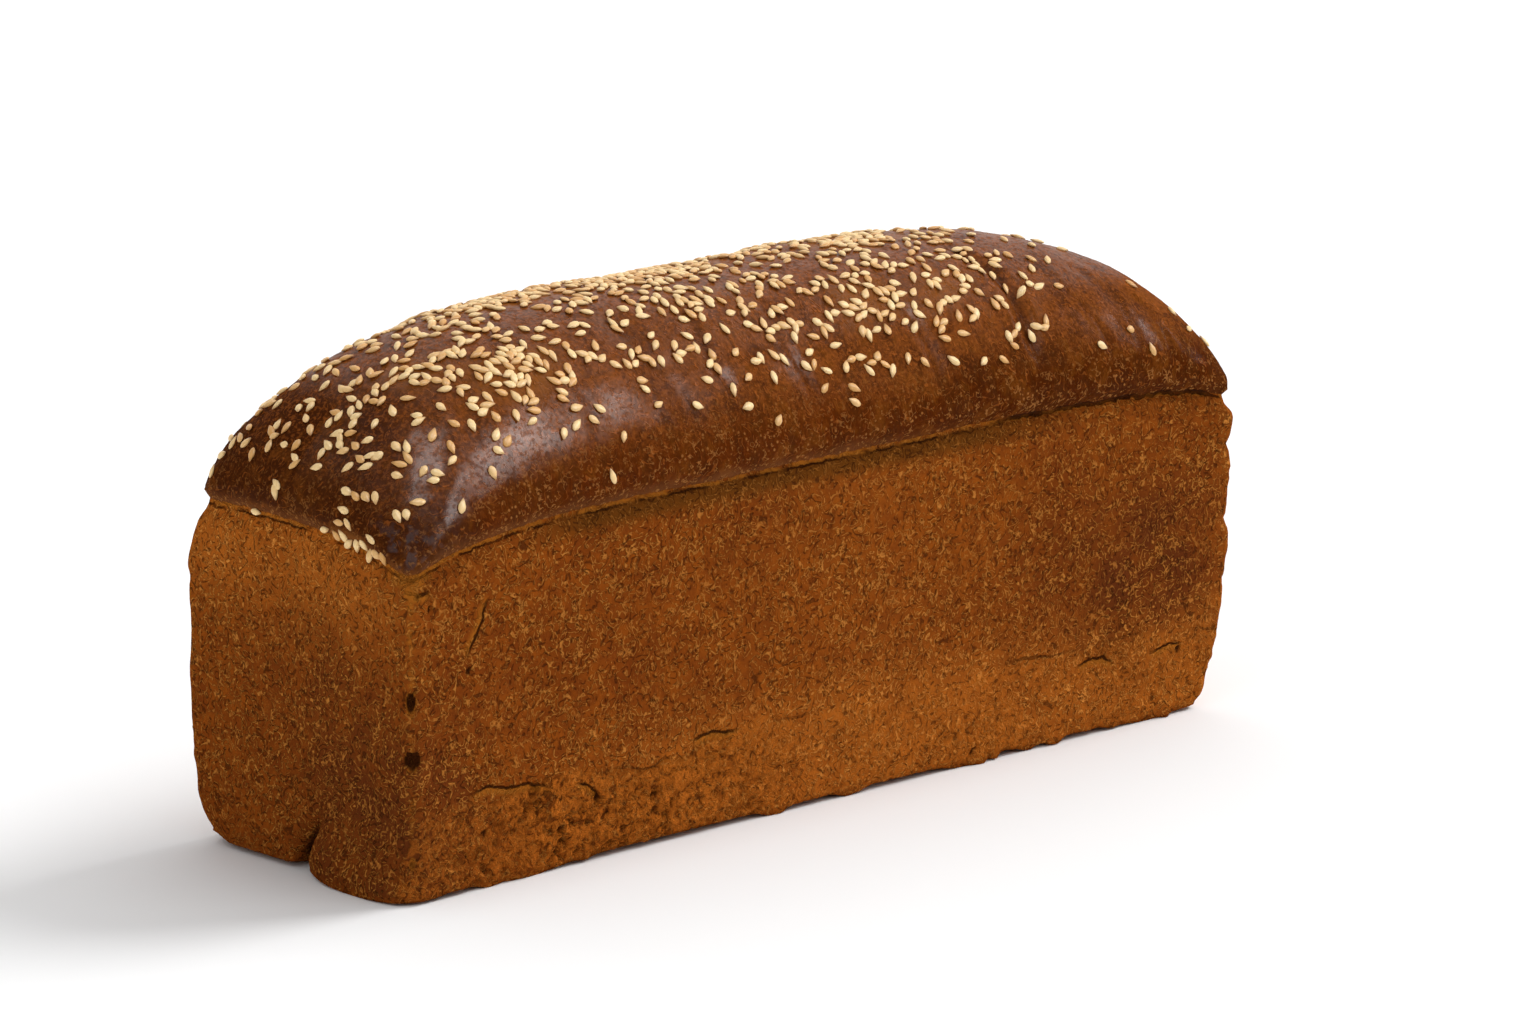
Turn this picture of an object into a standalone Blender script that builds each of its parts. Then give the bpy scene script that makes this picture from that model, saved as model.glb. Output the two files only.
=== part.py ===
"""A tall brioche loaf baked in a long straight tin, with a domed crown strewn with sesame.

The loaf is one solid. Its origin is at the middle of its base, +X runs along the loaf and -Y is
the long wall that shows best. The surface starts as a unit cube of six grids: the four side grids
become the walls that the tin pressed flat, the top grid becomes the crown that rose over the rim,
and the bottom grid the base. Distances are in metres.
"""

import math
import random

import bmesh
import bpy
import numpy as np
from mathutils import Matrix, Vector
from mathutils.bvhtree import BVHTree

NAME = "loaf"

# Driving dimensions of the loaf.
LENGTH = 0.3075
WIDTH = 0.0910
RIM_HEIGHT = 0.0955
CROWN_RISE = 0.0461
DRAFT = 0.0012
RIGHT_TUCK = 0.0095
HALF_LENGTH = LENGTH / 2
HALF_WIDTH = WIDTH / 2

# The rim is the crease between wall and crown. It dips at the four corners of the tin.
RIM_DIPS = {(-1, -1): 0.0105, (1, -1): 0.0072, (-1, 1): 0.0025, (1, 1): 0.0050}
RIM_DIP_REACH = 0.022
RIM_GROOVE = 0.0013
GROOVE_REACH = 0.006
EDGE_RADIUS = 0.0028
SHOULDER_RADII = {(-1, -1): 0.0045, (1, -1): 0.0038, (-1, 1): 0.0125, (1, 1): 0.0090}
SHOULDER_DEPTH = 0.018

# Profile of the crown. |x|^power + rise^roundness = 1, with a fuller right end. The hip sets how
# firmly the flanks of the crown meet at its corners: near 0 is a soft dome, 2 a clear ridge.
HIP = 0.35
LEFT_POWER, LEFT_ROUNDNESS = 6.3, 1.46
RIGHT_POWER, RIGHT_ROUNDNESS = 2.85, 3.05
ACROSS_POWER, ACROSS_ROUNDNESS = 2.60, 1.60
OVERHANG, RIGHT_OVERHANG = 0.0026, 0.0008
CROWN_LEAN = -0.0002

# The base: a flat patch to stand on, with an uneven rolled edge round it.
BASE_MARGIN = 0.0078
BASE_LIFT, BASE_LIFT_HEIGHT = 0.0016, 0.030
BASE_ROLL, BASE_ROLL_HEIGHT = 0.0008, 0.0050
FOOT_PRESS = 0.65
FAR_CORNER_ROLL, FAR_CORNER_LIFT = 0.0020, 0.0016
FAR_CORNER_REACH, FAR_CORNER_HEIGHT = 0.0155, 0.018
FRONT_FEET = {-0.113: 0.017, -0.021: 0.004, 0.009: 0.004, 0.054: 0.007, 0.082: 0.004, 0.131: 0.014}
BACK_FEET = {-0.126: 0.014, -0.070: 0.006, -0.022: 0.010, 0.040: 0.005, 0.078: 0.008, 0.130: 0.012}
LEFT_FEET = {-0.026: 0.020}
RIGHT_FEET = {-0.020: 0.016, 0.026: 0.012}

# The near half of the left end spreads at its foot, so the middle of the whole lies left of the
# middle of the rim, by ORIGIN_SHIFT.
FLARE = 0.0056
FLARE_Y, FLARE_HALF_WIDTH, FLARE_HEIGHT = -0.0255, 0.0200, 0.0240
FLARE_EDGE, FLARE_DEPTH = 0.0045, 0.010
ORIGIN_SHIFT = 0.0020

# The seam where two rolls of dough met, low on the left end, and its faint twin on the right.
SEAM_FOOT = (0.0010, 0.0)
SEAM_TOP = (-0.0075, 0.017)
SEAM_WIDTH = 0.0042
SEAM_DEPTH = 0.0050
TWIN_SEAM_Y, TWIN_SEAM_DEPTH = 0.0120, 0.0020

# Folds that run down over the crown: (x at the ridge, x at the rim, half width, depth, first y).
CROWN_FOLDS = (
    (0.075, 0.095, 0.0040, 0.0016, -0.005),
    (0.109, 0.119, 0.0050, 0.0008, -0.018),
    (-0.063, -0.055, 0.0060, 0.0007, -0.014),
    (-0.103, -0.109, 0.0050, 0.0008, 0.012),
    (0.017, 0.009, 0.0060, 0.0010, 0.010),
)

# Gas holes burst in the near left edge: (height, radius along, radius up, depth).
EDGE_HOLES = ((0.0539, 0.0013, 0.0026, 0.0022), (0.0385, 0.0022, 0.0025, 0.0026))

# Grid lines along, across and up the loaf.
CELLS_LONG, CELLS_ACROSS, CELLS_UP = 46, 16, 13

# Sesame, true size. Each patch of seeds is (x, y, half length, half width, share of the seeds).
SEED_COUNT = 215
SEED_SIDES = 6
SEED_LENGTH, SEED_WIDTH, SEED_HEIGHT = 0.0040, 0.0025, 0.0010
SEED_ROOT = 0.0006
SEED_GAP = 0.0036
SEED_PATCHES = (
    (-0.048, 0.010, 0.055, 0.013, 0.26),
    (-0.108, -0.008, 0.026, 0.020, 0.20),
    (0.057, 0.006, 0.040, 0.016, 0.24),
    (-0.003, -0.018, 0.115, 0.018, 0.30),
)

CRUST_COLOUR = (0.098, 0.037, 0.016, 1.0)


def smooth(t):
    """0 below 0, 1 above 1, and an S curve between them."""
    t = np.clip(t, 0.0, 1.0)
    return t * t * (3.0 - 2.0 * t)


def bell(distance, half_width):
    """1 on the line and near 0 at twice the half width."""
    return np.exp(-((distance / half_width) ** 2))


def rim_height(x, y):
    """Height of the crease over the plan point (x, y)."""
    height = RIM_HEIGHT + 0.0 * x
    for (side_x, side_y), dip in RIM_DIPS.items():
        away = np.hypot(x - side_x * HALF_LENGTH, y - side_y * HALF_WIDTH)
        height = height - dip * np.exp(-away / RIM_DIP_REACH)
    return height


def round_corners(x, y, half_x, half_y, radius):
    """Bends the square corners of the plan, and what lies inside them, into arcs."""
    over_x = np.abs(x) - (half_x - radius)
    over_y = np.abs(y) - (half_y - radius)
    inside = (over_x > 0) & (over_y > 0)
    longest = np.maximum(over_x, over_y)
    shrink = np.where(inside, longest / np.maximum(np.hypot(over_x, over_y), 1e-9), 1.0)
    x = np.where(inside, np.sign(x) * (half_x - radius + over_x * shrink), x)
    y = np.where(inside, np.sign(y) * (half_y - radius + over_y * shrink), y)
    return x, y


def plan(a, b, inset, radius):
    """Cube coordinates a and b to a point in plan, with the walls moved in by inset."""
    half_x, half_y = HALF_LENGTH - inset, HALF_WIDTH - inset
    return round_corners(a * half_x, b * half_y, half_x, half_y, radius)


def shoulder_radius(a, b):
    """Radius in plan of the nearest corner where wall and crown meet."""
    radius = 0.0 * a
    for (side_x, side_y), corner in SHOULDER_RADII.items():
        radius = np.where((a * side_x >= 0) & (b * side_y >= 0), corner, radius)
    return radius


def near_far_corner(a, b):
    """1 at the far left corner of the base, which the tin's round corner left bare, 0 away."""
    away = np.hypot(a * HALF_LENGTH + HALF_LENGTH, b * HALF_WIDTH - HALF_WIDTH)
    return 1 - smooth(away / FAR_CORNER_REACH)


def crown_rise(a, b):
    """Rise of the crown from 0 at the rims to 1 at the ridge, out of its two profiles."""
    power = np.where(a < 0, LEFT_POWER, RIGHT_POWER)
    roundness = np.where(a < 0, LEFT_ROUNDNESS, RIGHT_ROUNDNESS)
    along = np.clip(1 - np.abs(a) ** power, 1e-9, 1) ** (1 / roundness)
    across = np.clip(1 - np.abs(b) ** ACROSS_POWER, 1e-9, 1) ** (1 / ACROSS_ROUNDNESS)
    return (along**-HIP + across**-HIP - 1) ** (-1 / HIP)


def crown(a, b):
    """The top grid, from the crease at all four rims up to the ridge."""
    rise = crown_rise(a, b)
    x, y = plan(a, b, RIM_GROOVE * (1 - smooth(rise / 0.06)), shoulder_radius(a, b))
    swell = np.sin(np.pi * np.clip(rise / 0.7, 0, 1))
    z = rim_height(x, y) + CROWN_RISE * rise
    y = y + np.sign(b) * OVERHANG * swell * np.abs(b) ** 4 * (1 - a**4) + CROWN_LEAN * rise
    end_swell = np.where(a < 0, OVERHANG, RIGHT_OVERHANG) * swell
    x = x + np.sign(a) * end_swell * np.abs(a) ** 8 * (1 - np.abs(b) ** 3)
    return x, y, z


def foot_lift(x, y):
    """How far the rolled edge of the base stays off the table, by place round the edge."""
    lift = 0.0 * x + BASE_LIFT
    edges = (
        (FRONT_FEET, x, HALF_WIDTH + y),
        (BACK_FEET, x, HALF_WIDTH - y),
        (LEFT_FEET, y, HALF_LENGTH + x),
        (RIGHT_FEET, y, HALF_LENGTH - x),
    )
    for feet, place, from_edge in edges:
        near_edge = 1 - smooth(from_edge / BASE_MARGIN - 1)
        for foot, half_width in feet.items():
            lift = lift * (1 - FOOT_PRESS * near_edge * bell(place - foot, half_width))
    return lift


def flare(x, y, z):
    """How far the foot of the near half of the left end spreads out."""
    across = np.exp(-(((y - FLARE_Y) / FLARE_HALF_WIDTH) ** 4)) * smooth((y + HALF_WIDTH) / FLARE_EDGE)
    at_end = smooth((FLARE_DEPTH - HALF_LENGTH - x) / (0.8 * FLARE_DEPTH))
    return FLARE * across * at_end * (1 - smooth(z / FLARE_HEIGHT))


def tuck(a, up):
    """How far the right end wall draws in below its middle."""
    return RIGHT_TUCK * np.clip(1 - up, 0, 1) ** 4.8 * smooth((a + 1) / 2)


def wall(a, b, c):
    """The four side grids, from the table at c = -1 to the rim at c = +1."""
    up = (c + 1) / 2
    top_x, top_y = plan(a, b, 0.0, EDGE_RADIUS)
    rim = rim_height(top_x, top_y)
    below_rim = rim * (1 - up)
    at_foot = (1 - smooth(rim * up / BASE_ROLL_HEIGHT)) ** 2
    at_corner = near_far_corner(a, b) * (1 - smooth(rim * up / FAR_CORNER_HEIGHT)) ** 2
    shoulder = (shoulder_radius(a, b) - EDGE_RADIUS) * smooth(1 - below_rim / SHOULDER_DEPTH)
    groove = RIM_GROOVE * smooth(1 - below_rim / GROOVE_REACH)
    inset = DRAFT * (1 - up) + groove + BASE_ROLL * at_foot + FAR_CORNER_ROLL * at_corner
    x, y = plan(a, b, inset, EDGE_RADIUS + shoulder)
    z = rim * up + foot_lift(x, y) * (1 - smooth(rim * up / BASE_LIFT_HEIGHT)) + FAR_CORNER_LIFT * at_corner
    return x - tuck(a, up) - flare(x, y, rim * up), y, z


def base(a, b):
    """The bottom grid: flat in the middle, and rolled up to meet the walls."""
    inset = DRAFT + BASE_ROLL
    x, y = plan(a, b, inset, EDGE_RADIUS)
    edge = np.minimum(HALF_LENGTH - np.abs(x), HALF_WIDTH - np.abs(y)) - inset
    fade = 1 - np.clip(edge / BASE_MARGIN, 0, 1)
    corner = near_far_corner(a, b) * fade
    x, y = plan(a, b, inset + FAR_CORNER_ROLL * corner, EDGE_RADIUS)
    lift = (foot_lift(x, y) + FAR_CORNER_LIFT * corner) * fade
    return x - tuck(a, 0.0) - flare(x, y, 0.0) * fade, y, lift


def loaf_points(cube):
    """Maps points of the unit cube's surface, an array of (a, b, c), to the loaf's surface."""
    a, b, c = cube.T
    is_top = (c > 0.9999)[:, None]
    is_bottom = (c < -0.9999)[:, None]
    side = np.stack(wall(a, b, c), 1)
    points = np.where(is_top, np.stack(crown(a, b), 1), side)
    return np.where(is_bottom, np.stack(base(a, b), 1), points)


def seam_depth(x, y, z):
    """How deep the seam on the left end, and its faint twin on the right, cut into the wall."""
    climb = np.clip(z / SEAM_TOP[1], 0, 1.4)
    line = SEAM_FOOT[0] + (SEAM_TOP[0] - SEAM_FOOT[0]) * climb**1.5
    left = SEAM_DEPTH * bell(y - line, SEAM_WIDTH) * (1 - smooth(z / SEAM_TOP[1] - 0.35))
    right = TWIN_SEAM_DEPTH * bell(y - TWIN_SEAM_Y, 1.5 * SEAM_WIDTH) * (1 - smooth(z / 0.016))
    near_left = smooth((-x - HALF_LENGTH + 0.012) / 0.006)
    near_right = smooth((x - HALF_LENGTH + 0.012) / 0.006)
    return left * near_left + right * near_right


def fold_depth(x, y, z):
    """How deep the folds run over the crown at this point."""
    above_rim = smooth((z - rim_height(x, y) - 0.004) / 0.008)
    depth = 0.0 * x
    for ridge_x, rim_x, half_width, deep, first_y in CROWN_FOLDS:
        side = math.copysign(1, first_y)
        down = np.clip((side * y - abs(first_y)) / (HALF_WIDTH - abs(first_y)), -0.2, 1)
        line = ridge_x + (rim_x - ridge_x) * np.clip(down, 0, 1)
        depth = depth + deep * bell(x - line, half_width) * smooth((down + 0.1) / 0.3) * above_rim
    return depth


def undulation(x, y, z):
    """Broad, shallow unevenness of the walls and crown, out of a few crossing waves."""
    waves = (
        0.45 * np.sin(47 * x + 31 * z + 0.4)
        + 0.35 * np.sin(88 * x - 64 * z + 57 * y + 2.1)
        + 0.30 * np.sin(121 * y + 37 * x + 94 * z + 4.0)
        + 0.25 * np.sin(163 * x + 118 * z - 71 * y + 1.3)
    )
    return 0.0006 * waves * smooth(z / 0.012)


def relief(points):
    """How far each point moves out along its normal."""
    x, y, z = points.T
    return undulation(x, y, z) - fold_depth(x, y, z)


def seam_shift(points):
    """The seam draws the wall in along X and lifts the base's edge over it."""
    x, y, z = points.T
    depth = seam_depth(x, y, z)
    shift = np.zeros_like(points)
    shift[:, 0] = -np.sign(x) * depth
    shift[:, 2] = 0.9 * depth * (1 - smooth(z / 0.008))
    return shift


def spaced(values, crowding):
    """Crowds grid lines towards -1 and +1, where the loaf bends most."""
    return values * (1 - crowding) + np.sin(values * np.pi / 2) * crowding


def unit_cube(long_cells, across_cells, up_cells):
    """A closed unit cube made of six grids that share their edges."""
    bm = bmesh.new()
    right = math.pi / 2
    sides = (
        (long_cells, across_cells, Matrix()),
        (long_cells, across_cells, Matrix.Rotation(2 * right, 4, "X")),
        (long_cells, up_cells, Matrix.Rotation(right, 4, "X")),
        (long_cells, up_cells, Matrix.Rotation(-right, 4, "X")),
        (up_cells, across_cells, Matrix.Rotation(right, 4, "Y")),
        (up_cells, across_cells, Matrix.Rotation(-right, 4, "Y")),
    )
    for cells_x, cells_y, turn in sides:
        bmesh.ops.create_grid(
            bm,
            x_segments=cells_x,
            y_segments=cells_y,
            size=1.0,
            matrix=turn @ Matrix.Translation((0, 0, 1)),
        )
    bmesh.ops.remove_doubles(bm, verts=bm.verts, dist=1e-4)
    bmesh.ops.recalc_face_normals(bm, faces=bm.faces)
    return bm


def coordinates(mesh):
    """A mesh's vertices as an array of points."""
    flat = np.empty(len(mesh.vertices) * 3)
    mesh.vertices.foreach_get("co", flat)
    return flat.reshape(-1, 3)


def normals(mesh):
    """A mesh's vertex normals as an array."""
    flat = np.empty(len(mesh.vertices) * 3, np.float32)
    mesh.vertex_normals.foreach_get("vector", flat)
    return flat.reshape(-1, 3).astype(float)


def move_to(mesh, points):
    """Puts a mesh's vertices at these points."""
    mesh.vertices.foreach_set("co", points.astype(np.float32).ravel())
    mesh.update()


def crust_material():
    """The colour and gloss of the baked crust."""
    material = bpy.data.materials.new("crust")
    material.use_nodes = True
    shader = material.node_tree.nodes["Principled BSDF"]
    shader.inputs["Base Color"].default_value = CRUST_COLOUR
    shader.inputs["Roughness"].default_value = 0.5
    shader.inputs["Metallic"].default_value = 0.0
    return material


def flatten_base(mesh):
    """Merges the flat middle of the base into one face, so that it costs few triangles."""
    bm = bmesh.new()
    bm.from_mesh(mesh)
    flat = [f for f in bm.faces if all(v.co.z < 1e-6 for v in f.verts)]
    edges = {e for f in flat for e in f.edges if len(e.link_faces) == 2}
    inner = [e for e in edges if all(f in flat for f in e.link_faces)]
    bmesh.ops.dissolve_edges(bm, edges=inner, use_verts=True, use_face_split=False)
    bm.to_mesh(mesh)
    bm.free()


def make_body(collection):
    """The loaf without its seeds and holes."""
    bm = unit_cube(CELLS_LONG, CELLS_ACROSS, CELLS_UP)
    mesh = bpy.data.meshes.new(NAME)
    bm.to_mesh(mesh)
    bm.free()
    cube = coordinates(mesh)
    cube[:, 0] = spaced(cube[:, 0], 0.45)
    cube[:, 1] = spaced(cube[:, 1], 0.80)
    cube[:, 2] = spaced(cube[:, 2], 0.70)
    move_to(mesh, loaf_points(cube))
    points = coordinates(mesh)
    on_flat = points[:, 2] < 1e-6
    points = points + normals(mesh) * np.where(on_flat, 0, relief(points))[:, None]
    points = points + np.where(on_flat[:, None], 0, seam_shift(points))
    points[:, 2] = np.maximum(points[:, 2], 0)
    move_to(mesh, points)
    flatten_base(mesh)
    body = bpy.data.objects.new(NAME, mesh)
    collection.objects.link(body)
    mesh.materials.append(crust_material())
    return body


def surface_tree(body):
    """A search tree over the body's faces."""
    bm = bmesh.new()
    bm.from_mesh(body.data)
    tree = BVHTree.FromBMesh(bm)
    bm.free()
    return tree


def seed_places(tree):
    """Yields (point, normal, turn) for each seed: patches of crown, thinned to keep a gap."""
    draw = random.Random(11)
    kept = []
    for patch_x, patch_y, half_x, half_y, share in SEED_PATCHES:
        wanted = round(SEED_COUNT * share)
        for _ in range(60 * wanted):
            x = draw.gauss(patch_x, 0.55 * half_x)
            y = draw.gauss(patch_y, 0.75 * half_y)
            turn = draw.uniform(0, math.pi)
            if abs(x) > HALF_LENGTH - 0.012 or abs(y) > HALF_WIDTH - 0.003:
                continue
            point, normal, _, _ = tree.ray_cast(Vector((x, y, 1)), Vector((0, 0, -1)))
            if point is None or any((point - other).length < SEED_GAP for other, _, _ in kept):
                continue
            kept.append((point, normal, turn))
            wanted -= 1
            if wanted == 0:
                break
    return kept


def make_seeds(tree, collection):
    """Each seed is a low six-sided cap rooted in the crown, laid along it at its own turn."""
    for index, (point, normal, turn) in enumerate(seed_places(tree)):
        bm = bmesh.new()
        bmesh.ops.create_cone(
            bm,
            cap_ends=True,
            segments=SEED_SIDES,
            radius1=0.56,
            radius2=0.26,
            depth=SEED_HEIGHT + SEED_ROOT,
        )
        lying = Vector((0, 0, 1)).rotation_difference(normal).to_matrix().to_4x4()
        middle = point + normal * (SEED_HEIGHT - SEED_ROOT) / 2
        place = Matrix.Translation(middle) @ lying @ Matrix.Rotation(turn, 4, "Z")
        bm.transform(place @ Matrix.Diagonal((SEED_WIDTH, SEED_LENGTH, 1, 1)))
        mesh = bpy.data.meshes.new(f"seed_{index}")
        bm.to_mesh(mesh)
        bm.free()
        collection.objects.link(bpy.data.objects.new(mesh.name, mesh))


def make_holes(collection):
    """Balls that cut the burst gas holes out of the near left edge."""
    for height, along, up, deep in EDGE_HOLES:
        inset = DRAFT * (1 - height / RIM_HEIGHT) + 0.3 * EDGE_RADIUS
        bm = bmesh.new()
        bmesh.ops.create_icosphere(bm, subdivisions=2, radius=1.0)
        bm.transform(
            Matrix.Translation((-HALF_LENGTH + inset, -HALF_WIDTH + inset, height))
            @ Matrix.Diagonal((max(along, deep), max(along, deep), up, 1))
        )
        mesh = bpy.data.meshes.new("gas_hole")
        bm.to_mesh(mesh)
        bm.free()
        cutter = bpy.data.objects.new(mesh.name, mesh)
        cutter.hide_render = True
        cutter.display_type = "WIRE"
        collection.objects.link(cutter)


def apply_boolean(body, collection, operation):
    """Joins or cuts the body with a whole collection, then removes the collection's objects."""
    modifier = body.modifiers.new(operation.lower(), "BOOLEAN")
    modifier.operation = operation
    modifier.operand_type = "COLLECTION"
    modifier.collection = collection
    modifier.solver = "EXACT"
    graph = bpy.context.evaluated_depsgraph_get()
    mesh = bpy.data.meshes.new_from_object(body.evaluated_get(graph))
    body.modifiers.clear()
    body.data = mesh
    for helper in list(collection.objects):
        bpy.data.objects.remove(helper)
    bpy.data.collections.remove(collection)


def new_collection(name):
    """A collection linked into the scene."""
    collection = bpy.data.collections.new(name)
    bpy.context.scene.collection.children.link(collection)
    return collection


def main():
    """Builds the loaf."""
    for old in list(bpy.data.objects):
        bpy.data.objects.remove(old)
    body = make_body(new_collection("brioche_loaf"))
    tree = surface_tree(body)
    holes = new_collection("gas_holes")
    make_holes(holes)
    apply_boolean(body, holes, "DIFFERENCE")
    seeds = new_collection("seeds")
    make_seeds(tree, seeds)
    apply_boolean(body, seeds, "UNION")
    body.data.name = NAME
    body.data.transform(Matrix.Translation((ORIGIN_SHIFT, 0, 0)))
    body.data.shade_smooth()
    body.data.set_sharp_from_angle(angle=math.radians(40))


main()
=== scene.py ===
"""A tall sesame-strewn brioche loaf on a pale table, laid out as an add-on with one panel.

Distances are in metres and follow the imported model: the origin is at the middle of the base, +X
runs along the loaf and -Y is the long wall that shows best.
"""

import math

import bmesh
import bpy
import numpy as np
from bpy.props import FloatProperty, FloatVectorProperty, IntProperty, PointerProperty
from mathutils import Matrix, Vector


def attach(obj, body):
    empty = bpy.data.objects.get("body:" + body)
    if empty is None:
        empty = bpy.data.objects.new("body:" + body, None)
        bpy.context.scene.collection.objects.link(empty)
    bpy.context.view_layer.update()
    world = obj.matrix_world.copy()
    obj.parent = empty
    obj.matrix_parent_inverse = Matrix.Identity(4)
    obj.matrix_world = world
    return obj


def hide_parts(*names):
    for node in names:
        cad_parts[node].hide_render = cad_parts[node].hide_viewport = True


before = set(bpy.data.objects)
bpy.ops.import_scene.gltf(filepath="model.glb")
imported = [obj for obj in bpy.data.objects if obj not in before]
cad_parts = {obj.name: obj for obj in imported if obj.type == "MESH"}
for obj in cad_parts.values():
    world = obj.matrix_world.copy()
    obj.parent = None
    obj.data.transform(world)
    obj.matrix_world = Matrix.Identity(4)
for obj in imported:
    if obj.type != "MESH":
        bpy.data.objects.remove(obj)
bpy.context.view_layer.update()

bl_info = {
    "name": "Brioche loaf",
    "version": (1, 0, 0),
    "blender": (4, 5, 0),
    "location": "3D View > Sidebar > Loaf",
    "description": "Bakes a tin loaf with a domed, sesame-strewn crown",
    "category": "Add Mesh",
}

LENGTH_DEFAULT = 0.3075
WIDTH_DEFAULT = 0.0910


# ---------------------------------------------------------------- sizes and colours


class LoafSizes(bpy.types.PropertyGroup):
    """Sizes of the loaf, as baked."""

    length: FloatProperty(
        name="Length", description="Length at the rim of the tin", default=LENGTH_DEFAULT, unit="LENGTH"
    )
    width: FloatProperty(
        name="Width", description="Width at the rim of the tin", default=WIDTH_DEFAULT, unit="LENGTH"
    )
    rim_height: FloatProperty(
        name="Rim height", description="Height of the crease between wall and crown", default=0.0955,
        unit="LENGTH",
    )
    crown_rise: FloatProperty(
        name="Crown rise", description="How far the crown rose over the rim", default=0.0461,
        unit="LENGTH",
    )
    overhang: FloatProperty(
        name="Overhang", description="How far the crown bulges past the walls", default=0.0026,
        unit="LENGTH",
    )
    cells: IntProperty(
        name="Cells along", description="Grid cells along the loaf", default=250, min=40, max=300
    )


class SeedSizes(bpy.types.PropertyGroup):
    """Sizes and spread of the sesame."""

    length: FloatProperty(name="Length", description="Length of a seed", default=0.0041, unit="LENGTH")
    width: FloatProperty(name="Width", description="Width of a seed", default=0.0024, unit="LENGTH")
    thickness: FloatProperty(
        name="Thickness", description="Thickness of a seed", default=0.0012, unit="LENGTH"
    )
    gap: FloatProperty(
        name="Gap", description="Least distance between the middles of two seeds", default=0.0020,
        unit="LENGTH",
    )
    most: FloatProperty(
        name="Most", description="Seeds per square metre where they lie thickest", default=380000.0
    )
    draw: IntProperty(name="Draw", description="Number that picks the scatter", default=5)


class LoafColours(bpy.types.PropertyGroup):
    """Colours of the crust, the sesame and the table."""

    crown: FloatVectorProperty(
        name="Crown", description="Top of the crown", subtype="COLOR", size=3,
        default=(0.178, 0.0475, 0.0080),
    )
    # Real burnt crust at the left end and in dark blotches; in the folds and in the hollows of the
    # crumbly band it is painted shade.
    burnt_and_shade: FloatVectorProperty(
        name="Burnt", description="Darkest crust, at the left end and in folds", subtype="COLOR", size=3,
        default=(0.046, 0.0110, 0.0026),
    )
    flank: FloatVectorProperty(
        name="Flank", description="Lower flank of the crown", subtype="COLOR", size=3,
        default=(0.094, 0.0170, 0.0014),
    )
    wall: FloatVectorProperty(
        name="Wall", description="Tin-baked walls", subtype="COLOR", size=3,
        default=(0.268, 0.0630, 0.0068),
    )
    golden: FloatVectorProperty(
        name="Golden", description="Palest, most golden parts of the walls", subtype="COLOR", size=3,
        default=(0.420, 0.1130, 0.0130),
    )
    wall_dark: FloatVectorProperty(
        name="Dark wall", description="Browner patches of the walls", subtype="COLOR", size=3,
        default=(0.145, 0.0300, 0.0050),
    )
    fleck: FloatVectorProperty(
        name="Fleck", description="Light squiggles in the walls", subtype="COLOR", size=3,
        default=(0.500, 0.180, 0.032),
    )
    speck: FloatVectorProperty(
        name="Speck", description="Tan specks low on the crown", subtype="COLOR", size=3,
        default=(0.360, 0.140, 0.036),
    )
    torn: FloatVectorProperty(
        name="Torn crust", description="Raw orange crust at edges and tears", subtype="COLOR", size=3,
        default=(0.420, 0.140, 0.015),
    )
    # Painted shade: the dark inside of holes, pits, pores, cracks and the seam.
    pit_shade: FloatVectorProperty(
        name="Pit", description="Inside of holes and cracks", subtype="COLOR", size=3,
        default=(0.034, 0.009, 0.0026),
    )
    seed: FloatVectorProperty(
        name="Sesame", description="Pale sesame", subtype="COLOR", size=3, default=(0.940, 0.670, 0.315)
    )
    seed_toasted: FloatVectorProperty(
        name="Toasted sesame", description="Golden sesame", subtype="COLOR", size=3,
        default=(0.700, 0.360, 0.100),
    )
    table: FloatVectorProperty(
        name="Table", description="Table top", subtype="COLOR", size=3, default=(0.930, 0.930, 0.930)
    )


# ---------------------------------------------------------------- the loaf's shape

# The rim dips at the four corners of the tin: (side along, side across): depth.
RIM_DIPS = {(-1, -1): 0.0105, (1, -1): 0.0072, (-1, 1): 0.0025, (1, 1): 0.0050}
RIM_DIP_REACH = 0.022
RIM_GROOVE = 0.0013
EDGE_RADIUS = 0.0028
SHOULDER_RADII = {(-1, -1): 0.0045, (1, -1): 0.0038, (-1, 1): 0.0125, (1, 1): 0.0090}
SHOULDER_DEPTH = 0.018
DRAFT = 0.0012
RIGHT_TUCK = 0.0095

# Profile of the crown. |x|^power + rise^roundness = 1, with a fuller right end. The hip sets how
# firmly the flanks of the crown meet at its corners: near 0 is a soft dome, 2 a clear ridge.
HIP = 0.35
LEFT_POWER, LEFT_ROUNDNESS = 6.3, 1.46
RIGHT_POWER, RIGHT_ROUNDNESS = 2.85, 3.05
ACROSS_POWER, ACROSS_ROUNDNESS = 2.60, 1.60
RIGHT_OVERHANG = 0.3
CROWN_LEAN = -0.0002

# The base: a flat patch to stand on, with an uneven rolled edge round it.
BASE_MARGIN = 0.0078
BASE_LIFT = 0.0016
BASE_ROLL = 0.0008
BASE_ROLL_HEIGHT = 0.0050
FOOT_PRESS = 0.95
FAR_CORNER_ROLL, FAR_CORNER_LIFT, FAR_CORNER_REACH = 0.0020, 0.0016, 0.0155
FRONT_FEET = {-0.113: 0.017, -0.021: 0.004, 0.009: 0.004, 0.054: 0.007, 0.082: 0.004, 0.131: 0.014}
BACK_FEET = {-0.126: 0.014, -0.070: 0.006, -0.022: 0.010, 0.040: 0.005, 0.078: 0.008, 0.130: 0.012}
LEFT_FEET = {-0.026: 0.020}
RIGHT_FEET = {-0.020: 0.016, 0.026: 0.012}

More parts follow.
